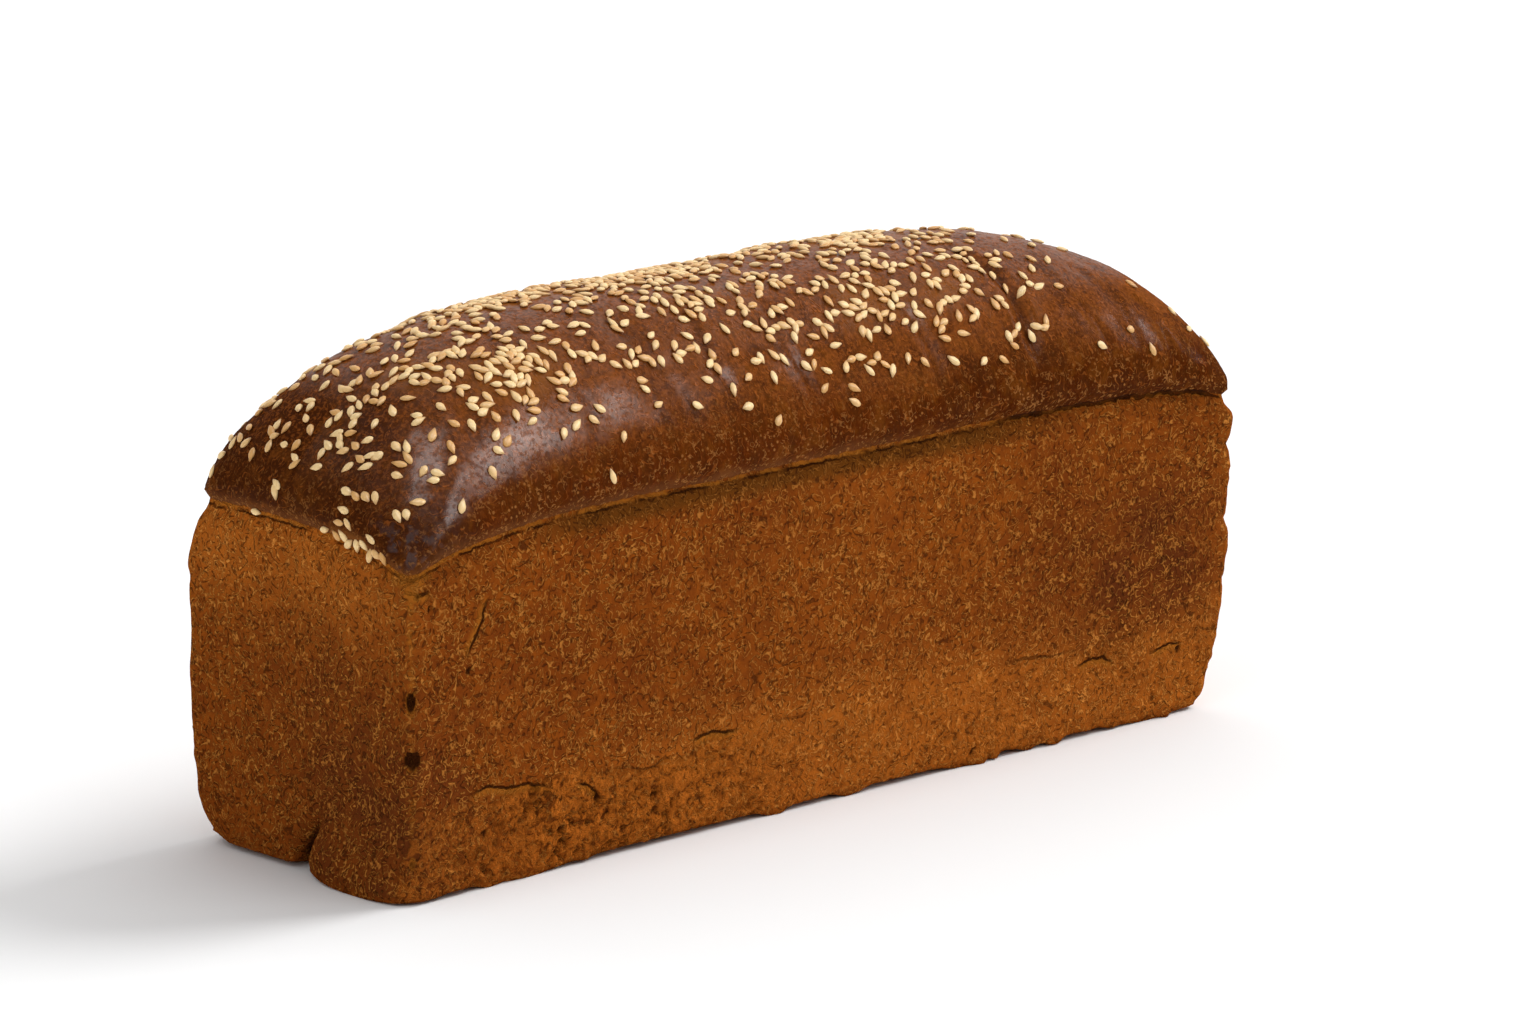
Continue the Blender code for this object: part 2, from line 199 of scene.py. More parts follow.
# The near half of the left end spreads at its foot: (middle, half width, height), and how far.
# The front wall spreads a little too, near that corner.
FLARE_Y, FLARE_HALF_WIDTH, FLARE_HEIGHT = -0.0255, 0.0200, 0.0240
FLARE = 0.0056
FRONT_FLARE_X, FRONT_FLARE_HALF_WIDTH, FRONT_FLARE = -0.143, 0.012, 0.0013
ORIGIN_SHIFT = 0.0020

# The seam where two rolls of dough met, low on the left end, and its faint twin on the right.
SEAM_FOOT = (0.0012, 0.0)
SEAM_TOP = (-0.0075, 0.017)
SEAM_WIDTH = 0.0026
SEAM_DEPTH = 0.0052
TWIN_SEAM_Y, TWIN_SEAM_DEPTH = 0.0120, 0.0020

# Folds over the crown: (x at the ridge, x at the rim, half width, depth, first y, last share down).
CROWN_FOLDS = (
    (0.073, 0.078, 0.0020, 0.0013, -0.012, 0.85),
    (0.109, 0.119, 0.0030, 0.0005, -0.022, 0.80),
    (0.098, 0.104, 0.0016, 0.0004, -0.029, 0.85),
    (0.124, 0.131, 0.0018, 0.0005, -0.028, 0.90),
    (-0.063, -0.055, 0.0050, 0.0007, -0.014, 0.80),
    (-0.040, -0.036, 0.0024, 0.0005, -0.020, 0.70),
    (-0.012, -0.008, 0.0022, 0.0005, -0.022, 0.80),
    (0.034, 0.038, 0.0022, 0.0005, -0.026, 0.90),
    (-0.103, -0.109, 0.0050, 0.0008, 0.012, 0.90),
    (0.017, 0.009, 0.0060, 0.0010, 0.010, 0.90),
    (0.060, 0.066, 0.0024, 0.0006, 0.018, 0.90),
    (-0.050, -0.054, 0.0024, 0.0006, 0.020, 0.80),
)

# Gas holes burst in the near left edge: (height, radius across, radius up, depth).
EDGE_HOLES = (
    (0.0539, 0.0015, 0.0026, 0.0024),
    (0.0385, 0.0024, 0.0026, 0.0030),
    (0.0110, 0.0012, 0.0018, 0.0012),
)

# Small pits in the front wall: (x, height, radius, depth).
FRONT_PITS = (
    (-0.1470, 0.0781, 0.0008, 0.0008),
    (-0.1335, 0.0599, 0.0009, 0.0010),
    (-0.1510, 0.0819, 0.0008, 0.0006),
    (0.0510, 0.0040, 0.0010, 0.0008),
    (0.1330, 0.0190, 0.0012, 0.0008),
    (-0.0880, 0.0170, 0.0012, 0.0010),
    (-0.1280, 0.0150, 0.0011, 0.0009),
)

# Tears in the front wall: points along x and z. The back wall has them too, end for end.
WALL_TEARS = (
    ((-0.1268, 0.0778), (-0.1285, 0.0745), (-0.1293, 0.0708), (-0.1325, 0.0665), (-0.1343, 0.0628)),
    ((-0.1333, 0.0257), (-0.1275, 0.0272), (-0.1205, 0.0257), (-0.1130, 0.0256), (-0.1040, 0.0228)),
    ((-0.0960, 0.0222), (-0.0920, 0.0215), (-0.0870, 0.0172)),
    ((-0.0540, 0.0262), (-0.0475, 0.0274), (-0.0380, 0.0262)),
    ((0.0920, 0.0204), (0.0960, 0.0222), (0.1020, 0.0218), (0.1070, 0.0193)),
    ((0.1210, 0.0200), (0.1290, 0.0212), (0.1340, 0.0206)),
    ((-0.1540, 0.0835), (-0.1505, 0.0822), (-0.1470, 0.0826)),
)

# Crumbs of dough that stuck out under the front edge: (x, half width, how far out).
EDGE_LUMPS = (
    (-0.126, 0.0035, 0.0010), (-0.113, 0.0050, 0.0008), (-0.092, 0.0028, 0.0007),
    (-0.021, 0.0030, 0.0010), (0.009, 0.0030, 0.0008), (0.054, 0.0032, 0.0022),
    (0.060, 0.0018, 0.0018), (0.084, 0.0034, 0.0020), (0.107, 0.0026, 0.0007),
    (0.128, 0.0018, 0.0020),
)


def smooth(t):
    """0 below 0, 1 above 1, and an S curve between them."""
    t = np.clip(t, 0.0, 1.0)
    return t * t * (3.0 - 2.0 * t)


def bell(distance, half_width):
    """1 on the line and near 0 at twice the half width."""
    return np.exp(-((distance / half_width) ** 2))


def lattice(ix, iy, iz, draw):
    """A repeatable number from -1 to 1 for each lattice point."""
    n = (ix * 73856093) ^ (iy * 19349663) ^ (iz * 83492791) ^ (draw * 2654435)
    n = ((n & 0x7FFFFFFF) * 1103515245 + 12345) & 0x7FFFFFFF
    n = ((n ^ (n >> 13)) * 69069 + 1) & 0x7FFFFFFF
    return (n ^ (n >> 11)) % 65536 / 32767.5 - 1.0


def noise(points, per_metre, draw):
    """Smooth lumps from -1 to 1, with this many lumps to a metre."""
    scaled = points * per_metre + 0.37 * draw
    low = np.floor(scaled).astype(np.int64)
    t = smooth(scaled - low)
    total = 0.0
    for corner in range(8):
        step = np.array((corner & 1, corner >> 1 & 1, corner >> 2 & 1))
        weight = np.prod(np.where(step, t, 1 - t), axis=1)
        total = total + weight * lattice(*(low + step).T, draw)
    return total


def rough_noise(points, per_metre, draw, octaves=3):
    """Noise with finer lumps on its lumps."""
    total, share = 0.0, 1.0
    for octave in range(octaves):
        total = total + share * noise(points, per_metre * 2.1**octave, draw + octave)
        share *= 0.5
    return total


def cell_distance(points, per_metre, draw):
    """Distance to the nearest of a scatter of points, in cells."""
    scaled = points * per_metre
    low = np.floor(scaled).astype(np.int64)
    nearest = np.full(len(points), 9.0)
    for corner in range(27):
        step = np.array((corner % 3 - 1, corner // 3 % 3 - 1, corner // 9 - 1))
        cell = low + step
        spot = cell + 0.5 + 0.45 * np.stack([lattice(*cell.T, draw + k) for k in range(3)], 1)
        nearest = np.minimum(nearest, np.linalg.norm(scaled - spot, axis=1))
    return nearest


def to_path(x, z, path):
    """Distance to a line of points, below 0 on its right, and how far along it, from 0 to 1."""
    best = np.full(len(x), 9.0)
    along = np.zeros(len(x))
    parts = len(path) - 1
    for index in range(parts):
        (ax, az), (bx, bz) = path[index], path[index + 1]
        length = math.hypot(bx - ax, bz - az)
        share = ((x - ax) * (bx - ax) + (z - az) * (bz - az)) / length**2
        inside = np.clip(share, 0, 1)
        away = np.hypot(x - ax - inside * (bx - ax), z - az - inside * (bz - az))
        side = np.where((bx - ax) * (z - az) - (bz - az) * (x - ax) < 0, -1, 1)
        nearer = away < np.abs(best)
        along = np.where(nearer, (index + share) / parts, along)
        best = np.where(nearer, side * away, best)
    return best, along


class Loaf:
    """The loaf's surface as a map from the unit cube, for one set of sizes."""

    def __init__(self, sizes):
        self.half_x = sizes.length / 2
        self.half_y = sizes.width / 2
        self.rim = sizes.rim_height
        self.rise = sizes.crown_rise
        self.overhang = sizes.overhang

    def rim_height(self, x, y):
        """Height of the crease over the plan point (x, y)."""
        height = self.rim + 0.0 * x
        for (side_x, side_y), dip in RIM_DIPS.items():
            away = np.hypot(x - side_x * self.half_x, y - side_y * self.half_y)
            height = height - dip * np.exp(-away / RIM_DIP_REACH)
        return height

    def plan(self, a, b, inset, radius):
        """Cube coordinates a and b to a point in plan, with walls moved in and corners rounded."""
        half_x, half_y = self.half_x - inset, self.half_y - inset
        x, y = a * half_x, b * half_y
        over_x = np.abs(x) - (half_x - radius)
        over_y = np.abs(y) - (half_y - radius)
        inside = (over_x > 0) & (over_y > 0)
        longest = np.maximum(over_x, over_y)
        shrink = np.where(inside, longest / np.maximum(np.hypot(over_x, over_y), 1e-9), 1.0)
        x = np.where(inside, np.sign(x) * (half_x - radius + over_x * shrink), x)
        y = np.where(inside, np.sign(y) * (half_y - radius + over_y * shrink), y)
        return x, y

    def shoulder_radius(self, a, b):
        """Radius in plan of the nearest corner where wall and crown meet."""
        radius = 0.0 * a
        for (side_x, side_y), corner in SHOULDER_RADII.items():
            radius = np.where((a * side_x >= 0) & (b * side_y >= 0), corner, radius)
        return radius

    def near_far_corner(self, a, b):
        """1 at the far left corner of the base, 0 away from it."""
        away = np.hypot((a + 1) * self.half_x, (b - 1) * self.half_y)
        return 1 - smooth(away / FAR_CORNER_REACH)

    def crown_rise(self, a, b):
        """Rise of the crown from 0 at the rims to 1 at the ridge, out of its two profiles."""
        power = np.where(a < 0, LEFT_POWER, RIGHT_POWER)
        roundness = np.where(a < 0, LEFT_ROUNDNESS, RIGHT_ROUNDNESS)
        along = np.clip(1 - np.abs(a) ** power, 1e-9, 1) ** (1 / roundness)
        across = np.clip(1 - np.abs(b) ** ACROSS_POWER, 1e-9, 1) ** (1 / ACROSS_ROUNDNESS)
        return (along**-HIP + across**-HIP - 1) ** (-1 / HIP)

    def crown(self, a, b):
        """The top grid, from the crease at all four rims up to the ridge."""
        rise = self.crown_rise(a, b)
        x, y = self.plan(a, b, RIM_GROOVE * (1 - smooth(rise / 0.06)), self.shoulder_radius(a, b))
        bulge = self.overhang * np.sin(np.pi * np.clip(rise / 0.7, 0, 1))
        z = self.rim_height(x, y) + self.rise * rise
        y = y + np.sign(b) * bulge * np.abs(b) ** 4 * (1 - a**4) + CROWN_LEAN * rise
        end_bulge = np.where(a < 0, 1.0, RIGHT_OVERHANG) * bulge
        x = x + np.sign(a) * end_bulge * np.abs(a) ** 8 * (1 - np.abs(b) ** 3)
        return x, y, z

    def foot_lift(self, x, y):
        """How far the rolled edge of the base stays off the table, by place round the edge."""
        lift = 0.0 * x + BASE_LIFT
        edges = (
            (FRONT_FEET, x, self.half_y + y),
            (BACK_FEET, x, self.half_y - y),
            (LEFT_FEET, y, self.half_x + x),
            (RIGHT_FEET, y, self.half_x - x),
        )
        for feet, place, from_edge in edges:
            near_edge = 1 - smooth(from_edge / BASE_MARGIN - 1)
            for foot, half_width in feet.items():
                lift = lift * (1 - FOOT_PRESS * near_edge * bell(place - foot, half_width))
        return lift

    def flare(self, x, y, z):
        """How far the foot spreads: out along -X at the left end, and out along -Y in front."""
        across = np.exp(-(((y - FLARE_Y) / FLARE_HALF_WIDTH) ** 4)) * smooth((y + self.half_y) / 0.0045)
        at_end = smooth((0.010 - self.half_x - x) / 0.008)
        end = FLARE * across * at_end * (1 - smooth(z / FLARE_HEIGHT))
        along = np.exp(-(((x - FRONT_FLARE_X) / FRONT_FLARE_HALF_WIDTH) ** 4))
        along = along * smooth((x + self.half_x) / 0.005)
        at_front = smooth((0.010 - self.half_y - y) / 0.008)
        return end, FRONT_FLARE * along * at_front * (1 - smooth((z - 0.001) / 0.005))

    def tuck(self, a, up):
        """How far the right end wall draws in below its middle."""
        return RIGHT_TUCK * np.clip(1 - up, 0, 1) ** 4.8 * smooth((a + 1) / 2)

    def wall(self, a, b, c):
        """The four side grids, from the table at c = -1 to the rim at c = +1."""
        up = (c + 1) / 2
        top_x, top_y = self.plan(a, b, 0.0, EDGE_RADIUS)
        rim = self.rim_height(top_x, top_y)
        below = rim * (1 - up)
        at_foot = (1 - smooth(rim * up / BASE_ROLL_HEIGHT)) ** 2
        at_corner = self.near_far_corner(a, b) * (1 - smooth(rim * up / 0.018)) ** 2
        shoulder = self.shoulder_radius(a, b) - EDGE_RADIUS
        radius = EDGE_RADIUS + shoulder * smooth(1 - below / SHOULDER_DEPTH)
        groove = RIM_GROOVE * smooth(1 - below / 0.006)
        inset = DRAFT * (1 - up) + groove + BASE_ROLL * at_foot + FAR_CORNER_ROLL * at_corner
        x, y = self.plan(a, b, inset, radius)
        z = rim * up + self.foot_lift(x, y) * (1 - smooth(rim * up / 0.030)) + FAR_CORNER_LIFT * at_corner
        end, front = self.flare(x, y, rim * up)
        return x - self.tuck(a, up) - end, y - front, z

    def base(self, a, b):
        """The bottom grid: flat in the middle, and rolled up to meet the walls."""
        inset = DRAFT + BASE_ROLL
        x, y = self.plan(a, b, inset, EDGE_RADIUS)
        edge = np.minimum(self.half_x - np.abs(x), self.half_y - np.abs(y)) - inset
        fade = 1 - np.clip(edge / BASE_MARGIN, 0, 1)
        corner = self.near_far_corner(a, b) * fade
        x, y = self.plan(a, b, inset + FAR_CORNER_ROLL * corner, EDGE_RADIUS)
        lift = (self.foot_lift(x, y) + FAR_CORNER_LIFT * corner) * fade
        end, front = self.flare(x, y, 0.0)
        return x - self.tuck(a, 0.0) - end * fade, y - front * fade, lift

    def points(self, cube):
        """Maps points of the unit cube's surface, an array of (a, b, c), to the loaf's surface."""
        a, b, c = cube.T
        side = np.stack(self.wall(a, b, c), 1)
        made = np.where((c > 0.9999)[:, None], np.stack(self.crown(a, b), 1), side)
        return np.where((c < -0.9999)[:, None], np.stack(self.base(a, b), 1), made)

    def fold_depth(self, x, y, z):
        """How deep the folds and wrinkles run over the crown."""
        above_rim = smooth((z - self.rim_height(x, y) - 0.004) / 0.008)
        depth = 0.0 * x
        for ridge_x, rim_x, half_width, deep, first_y, last in CROWN_FOLDS:
            side = math.copysign(1, first_y)
            down = (side * y - abs(first_y)) / (self.half_y - abs(first_y))
            wander = 0.0012 * np.sin(260 * y + 900 * ridge_x)
            line = ridge_x + (rim_x - ridge_x) * np.clip(down, 0, 1) + wander
            fade = smooth((down + 0.1) / 0.3) * (1 - smooth((down - last) / 0.2))
            away = x - line
            lip = 0.35 * bell(away - 2.2 * half_width, 1.3 * half_width)
            depth = depth + deep * (bell(away, half_width) - lip) * fade * above_rim
        return depth

    def undulation(self, x, y, z):
        """Broad, shallow unevenness of the walls and crown, out of a few crossing waves."""
        waves = (
            0.45 * np.sin(47 * x + 31 * z + 0.4)
            + 0.35 * np.sin(88 * x - 64 * z + 57 * y + 2.1)
            + 0.30 * np.sin(121 * y + 37 * x + 94 * z + 4.0)
            + 0.25 * np.sin(163 * x + 118 * z - 71 * y + 1.3)
        )
        return 0.0006 * waves * smooth(z / 0.012)

    def seam_depth(self, x, y, z):
        """How deep the seam on the left end, and its faint twin on the right, cut into the wall."""
        climb = np.clip(z / SEAM_TOP[1], 0, 1.4)
        line = SEAM_FOOT[0] + (SEAM_TOP[0] - SEAM_FOOT[0]) * climb**1.5
        left = SEAM_DEPTH * bell(y - line, SEAM_WIDTH) * (1 - smooth(z / SEAM_TOP[1] - 0.35))
        right = TWIN_SEAM_DEPTH * bell(y - TWIN_SEAM_Y, 1.5 * SEAM_WIDTH) * (1 - smooth(z / 0.016))
        near_left = smooth((-x - self.half_x + 0.012) / 0.006)
        near_right = smooth((x - self.half_x + 0.012) / 0.006)
        return left * near_left, right * near_right


# ---------------------------------------------------------------- mesh helpers


def spaced(values, crowding):
    """Crowds grid lines towards -1 and +1, where the loaf bends most."""
    return values * (1 - crowding) + np.sin(values * np.pi / 2) * crowding


def unit_cube(long_cells, across_cells, up_cells):
    """A closed unit cube made of six grids that share their edges."""
    bm = bmesh.new()
    right = math.pi / 2
    sides = (
        (long_cells, across_cells, Matrix()),
        (long_cells, across_cells, Matrix.Rotation(2 * right, 4, "X")),
        (long_cells, up_cells, Matrix.Rotation(right, 4, "X")),
        (long_cells, up_cells, Matrix.Rotation(-right, 4, "X")),
        (up_cells, across_cells, Matrix.Rotation(right, 4, "Y")),
        (up_cells, across_cells, Matrix.Rotation(-right, 4, "Y")),
    )
    for cells_x, cells_y, turn in sides:
        place = turn @ Matrix.Translation((0, 0, 1))
        bmesh.ops.create_grid(bm, x_segments=cells_x, y_segments=cells_y, size=1.0, matrix=place)
    bmesh.ops.remove_doubles(bm, verts=bm.verts, dist=1e-4)
    bmesh.ops.recalc_face_normals(bm, faces=bm.faces)
    return bm


def coordinates(mesh):
    """A mesh's vertices as an array of points."""
    flat = np.empty(len(mesh.vertices) * 3, np.float32)
    mesh.vertices.foreach_get("co", flat)
    return flat.reshape(-1, 3).astype(float)


def normals(mesh):
    """A mesh's vertex normals as an array."""
    flat = np.empty(len(mesh.vertices) * 3, np.float32)
    mesh.vertex_normals.foreach_get("vector", flat)
    return flat.reshape(-1, 3).astype(float)


def move_to(mesh, points):
    """Puts a mesh's vertices at these points."""
    mesh.vertices.foreach_set("co", points.astype(np.float32).ravel())
    mesh.update()


def store(mesh, name, values):
    """Keeps one number for each vertex under a name that the material can read."""
    attribute = mesh.attributes.new(name, "FLOAT", "POINT")
    attribute.data.foreach_set("value", np.asarray(values, np.float32))


def flatten_base(mesh):
    """Merges the flat middle of the base into one face."""
    bm = bmesh.new()
    bm.from_mesh(mesh)
    flat = {f for f in bm.faces if all(v.co.z < 1e-6 for v in f.verts)}
    inner = [e for e in bm.edges if len(e.link_faces) == 2 and all(f in flat for f in e.link_faces)]
    bmesh.ops.dissolve_edges(bm, edges=inner, use_verts=True, use_face_split=False)
    bm.to_mesh(mesh)
    bm.free()


def new_object(name, mesh):
    """An object at the origin, linked into the scene."""
    made = bpy.data.objects.new(name, mesh)
    bpy.context.scene.collection.objects.link(made)
    return made


# ---------------------------------------------------------------- relief of the crust

# The crumbly band over the foot, the stretch of crease that gapes, and the back wall's tears.
LEDGE_HEIGHT = 0.0245
CRUMBLY_X, CRUMBLY_HALF_LENGTH, CRUMBLY_EXTRA = -0.085, 0.045, 1.6
GAPE_START, GAPE_END = 0.052, 0.140
BACK_TEAR_SHIFT, BACK_TEAR_SCALE = 0.012, 0.95

# Bumps and nicks down the near right edge: (height over the crease, half height, out).
RIGHT_EDGE_BUMPS = (
    (-0.0065, 0.0038, 0.0013), (-0.0134, 0.0014, -0.0009), (-0.0240, 0.0070, 0.0003),
    (-0.0354, 0.0013, -0.0008), (-0.0420, 0.0040, 0.0005),
)


def right_edge(gap, above):
    """How far the near right edge stands out of the smooth wall."""
    out = 0.0 * above
    for middle, half_height, reach in RIGHT_EDGE_BUMPS:
        out = out + reach * bell(above - middle, half_height)
    return out * bell(gap, 0.0065)


def hole_depth(loaf, x, y, z):
    """Burst gas holes in the near left edge, as depth along the diagonal."""
    across = ((x + loaf.half_x) - (y + loaf.half_y)) / math.sqrt(2)
    near = smooth(1 - ((x + loaf.half_x) + (y + loaf.half_y)) / 0.008)
    depth = 0.0 * x
    for height, radius_across, radius_up, deep in EDGE_HOLES:
        away = np.hypot(across / radius_across, (z - height) / radius_up)
        away = away + 0.22 * noise(np.stack((x, y, z), 1), 520, 11)
        depth = np.maximum(depth, deep * smooth((1.15 - away) / 0.5) * near)
    return depth


def front_pits(x, z):
    """Pits of the front wall, as depth."""
    depth = 0.0 * x
    for pit_x, pit_z, radius, deep in FRONT_PITS:
        away = np.hypot(x - pit_x, z - pit_z) / radius
        depth = np.maximum(depth, deep * smooth((1.4 - away) / 0.9))
    return depth


def wall_tears(x, z):
    """Signed distance to the nearest tear of a long wall, and how open it is there."""
    gap, opening = np.full(len(x), 9.0), 0.0 * x
    for path in WALL_TEARS:
        away, along = to_path(x, z, path)
        nearer = np.abs(away) < np.abs(gap)
        gap = np.where(nearer, away, gap)
        opening = np.where(nearer, smooth((along + 0.05) / 0.25) * smooth((1.05 - along) / 0.25), opening)
    return np.clip(gap, -0.01, 0.01), opening


def edge_lumps(x, y, z):
    """How far crumbs stand out along the front edge of the base."""
    out = 0.0 * x
    for middle, half_width, reach in EDGE_LUMPS:
        out = np.maximum(out, reach * bell(x - middle, half_width))
    return out * bell(z - 0.0012, 0.0030) * (y < -0.03)


# Where the glaze took best: (x, height over the crease, half length, half height, how much).
SHINE_SPOTS = (
    (-0.118, 0.0220, 0.032, 0.0085, 1.15),
    (-0.082, 0.0270, 0.030, 0.0065, 1.0),
    (-0.140, 0.0120, 0.008, 0.0085, 1.0),
    (-0.148, 0.0220, 0.010, 0.0090, 0.9),
    (-0.040, 0.0265, 0.010, 0.0040, 0.8),
    (-0.012, 0.0270, 0.008, 0.0040, 0.7),
    (0.112, 0.0250, 0.006, 0.0050, 0.5),
    (0.122, 0.0200, 0.005, 0.0050, 0.5),
)


def shine(x, y, above):
    """How glossy the crown is, by place: most on its left shoulder, least low on its flank."""
    much = 0.08 + 0.92 * smooth((above - 0.027) / 0.008)
    for spot_x, spot_above, half_long, half_high, share in SHINE_SPOTS:
        spot = share * bell(x - spot_x, half_long) * bell(above - spot_above, half_high)
        much = np.maximum(much, spot * (y < 0))
    return much


def relieve(loaf, mesh):
    """Adds the crust's relief to the smooth loaf and stores the masks its material reads."""
    points = coordinates(mesh)
    x, y, z = points.T
    on_flat = z < 1e-6
    rim = loaf.rim_height(x, y)
    above = z - rim
    shift_left, shift_right = loaf.seam_depth(x, y, z)
    relief = loaf.undulation(x, y, z) - loaf.fold_depth(x, y, z)
    points = points + normals(mesh) * np.where(on_flat, 0, relief)[:, None]
    points[:, 0] += np.where(on_flat, 0, shift_left - shift_right)
    seam = shift_left + shift_right
    points[:, 2] += np.where(on_flat, 0, 0.9 * seam * (1 - smooth(z / 0.008)))
    move_to(mesh, points)

    x, y, z = points.T
    outward = normals(mesh)
    crown = smooth(above / 0.003)
    wall = (1 - crown) * smooth(z / 0.003)
    on_front = smooth(-outward[:, 1] * 2 - 0.9) * wall
    on_side = smooth(np.abs(outward[:, 1]) * 2 - 0.9) * wall
    edge_gap = np.hypot(loaf.half_x - np.abs(x) - 0.0006, loaf.half_y - np.abs(y) - 0.0006)
    tucked = np.hypot(loaf.half_x - loaf.tuck(1.0, z / rim) - x, loaf.half_y - np.abs(y))
    edge_gap = np.where(x > 0, tucked, edge_gap)
    edge = bell(edge_gap, 0.0042) * wall

    ledge = LEDGE_HEIGHT + 0.0035 * noise(points, 32, 41) + 0.0012 * noise(points, 150, 42)
    band = smooth((ledge - z) / 0.003) * on_side * (0.55 + 0.45 * smooth(-y / 0.01))
    pores = smooth((0.42 - cell_distance(points, 330, 7)) / 0.2) * smooth(0.5 + noise(points, 90, 3))
    crumbs = rough_noise(points, 420, 12, 2)
    small = cell_distance(points, 240, 21)
    pocks = smooth((0.24 - small) / 0.12) * smooth(noise(points, 70, 5) * 2 + 0.2) * wall

    tear_wave = 0.55 + 0.45 * noise(points, 130, 31) + 0.3 * noise(points, 420, 32)
    crease_front = smooth(-y / loaf.half_y * 4 - 2.6)
    open_right = smooth((x - GAPE_START) / 0.02) * (1 - smooth((x - GAPE_END) / 0.012))
    crease_line = bell(above + 0.0005 * noise(points, 180, 33), 0.0010)
    gaping = 0.25 + 0.9 * open_right * np.clip(tear_wave, 0, 1)
    crease_cut = crease_line * (0.35 + crease_front * gaping)

    holes = hole_depth(loaf, x, y, z)
    cuts = front_pits(x, z) * on_front
    lumps = edge_lumps(x, y, z)
    chips = smooth(noise(points, 260, 61) * 2.4 - 1.2) * edge
    ragged = edge * (0.0006 * noise(points, 105, 51) + 0.0004 * noise(points, 330, 52)) - 0.0007 * chips
    ragged = ragged + np.where((x > 0) & (y < 0), right_edge(edge_gap, above), 0) * wall
    skin = crown * (0.00016 * rough_noise(points, 160, 71) + 0.00005 * noise(points, 700, 72))
    flat_skin = wall * (0.00008 * rough_noise(points, 300, 81) + 0.00006 * noise(points, 900, 82))
    corner = np.hypot(x + loaf.half_x - 0.004, y + loaf.half_y - 0.004)
    dent = 0.0010 * bell(corner, 0.006) * bell(above - 0.008, 0.006)
    base_ragged = smooth(1 - z / 0.007) * on_side * 0.0006 * noise(points, 240, 91)

    out = skin + flat_skin + ragged + base_ragged + lumps - cuts - dent - 0.0010 * crease_cut
    crumbly = 1 + CRUMBLY_EXTRA * bell(x - CRUMBLY_X, CRUMBLY_HALF_LENGTH) * (y < 0)
    out = out - band * crumbly * (0.0007 * pores + 0.00030 * crumbs) - 0.0004 * pocks
    moved = outward * np.where(on_flat, 0, out)[:, None]
    inward = np.array((1.0, 1.0, 0.0)) / math.sqrt(2)
    points = points + moved + holes[:, None] * inward
    points[:, 2] = np.where(on_flat, 0, np.maximum(points[:, 2], 0.00004))
    move_to(mesh, points)

    # Painted shade: how dark holes, pits, pores, pocks and the seam are painted, deeper ones darker.
    pit_shade = np.clip(np.maximum(holes / 0.0016, cuts / 0.0009), 0, 1)
    pit_shade = np.maximum(pit_shade, 0.28 * crumbly * band * pores)
    pit_shade = np.maximum(pit_shade, 0.5 * pocks)
    pit_shade = np.maximum(pit_shade, 0.9 * smooth(seam / 0.004 - 0.2) * smooth(z / 0.004))
    tip = bell(np.hypot(x + loaf.half_x, y + loaf.half_y), 0.011) * bell(above + 0.0015, 0.0028)
    rims = smooth(holes / 0.0006) * (1 - smooth(holes / 0.002)) + smooth(cuts / 0.0003) * (1 - pit_shade)
    sharp_edge = bell(edge_gap, 0.0016) * wall * (0.75 + 0.5 * noise(points, 90, 57))
    torn = np.clip(0.85 * sharp_edge + 0.8 * tip + 0.8 * rims, 0, 1)
    masks = {}
    masks["crumbly"] = band * np.clip(0.25 + (crumbly - 1) * 0.6 + 0.4 * noise(points, 60, 63), 0, 1)
    long_fade = smooth((x + 0.118) / 0.03) * (1 - smooth((x - 0.045) / 0.05))
    # Painted shadow: the wall is darkened just under the crease, where the crown's overhang shades it,
    # most along the middle.
    painted_crease_shadow = smooth(-above / 0.0008) * (1 - smooth((-above - 0.0030) / 0.0050)) * on_side
    painted_crease_shadow = painted_crease_shadow * (0.20 + 0.80 * long_fade)
    end_gap = x + loaf.half_x
    dark_end = smooth((0.034 - end_gap) / 0.022) * (1 - smooth((above - 0.026) / 0.016)) * crown
    paler = 0.6 * bell(y + 0.036, 0.011) * smooth((above - 0.010) / 0.006)
    masks["dark_end"] = dark_end * (1 - paler)
    masks["shine"] = shine(x, y, above)
    # Painted glint: where a blue-grey patch is painted at the crown's near left corner tip.
    masks["painted_glint"] = bell(corner, 0.0085) * bell(above - 0.0065, 0.0050) * crown
    tear, tear_open = wall_tears(np.where(y < 0, x, BACK_TEAR_SHIFT - BACK_TEAR_SCALE * x), z)
    masks["tear"] = tear
    masks["tear_open"] = tear_open * on_side
    ledge_open = smooth(0.15 + 1.5 * noise(points, 55, 43)) * smooth((y + 0.02) / -0.02 - 0.5)
    masks["ledge"] = np.clip(z - ledge, -0.01, 0.01)
    masks["ledge_open"] = ledge_open * on_side
    low_golden = smooth((x + 0.125) / 0.100) * (1 - smooth((z - 0.010) / 0.034))
    at_end = smooth((-x - loaf.half_x + 0.006) / 0.004)
    end_top = at_end * bell(above + 0.006, 0.020) * smooth((y + 0.044) / 0.024)
    golden = 1.40 * low_golden + 0.55 * end_top + 0.20 * bell(x - 0.015, 0.055)
    golden = golden + 0.55 * bell(edge_gap, 0.006) * (x > 0)
    golden = golden + 0.45 * bell(x + loaf.half_x, 0.006) * bell(above + 0.010, 0.014)
    masks["golden"] = np.clip(golden, 0, 1) * wall
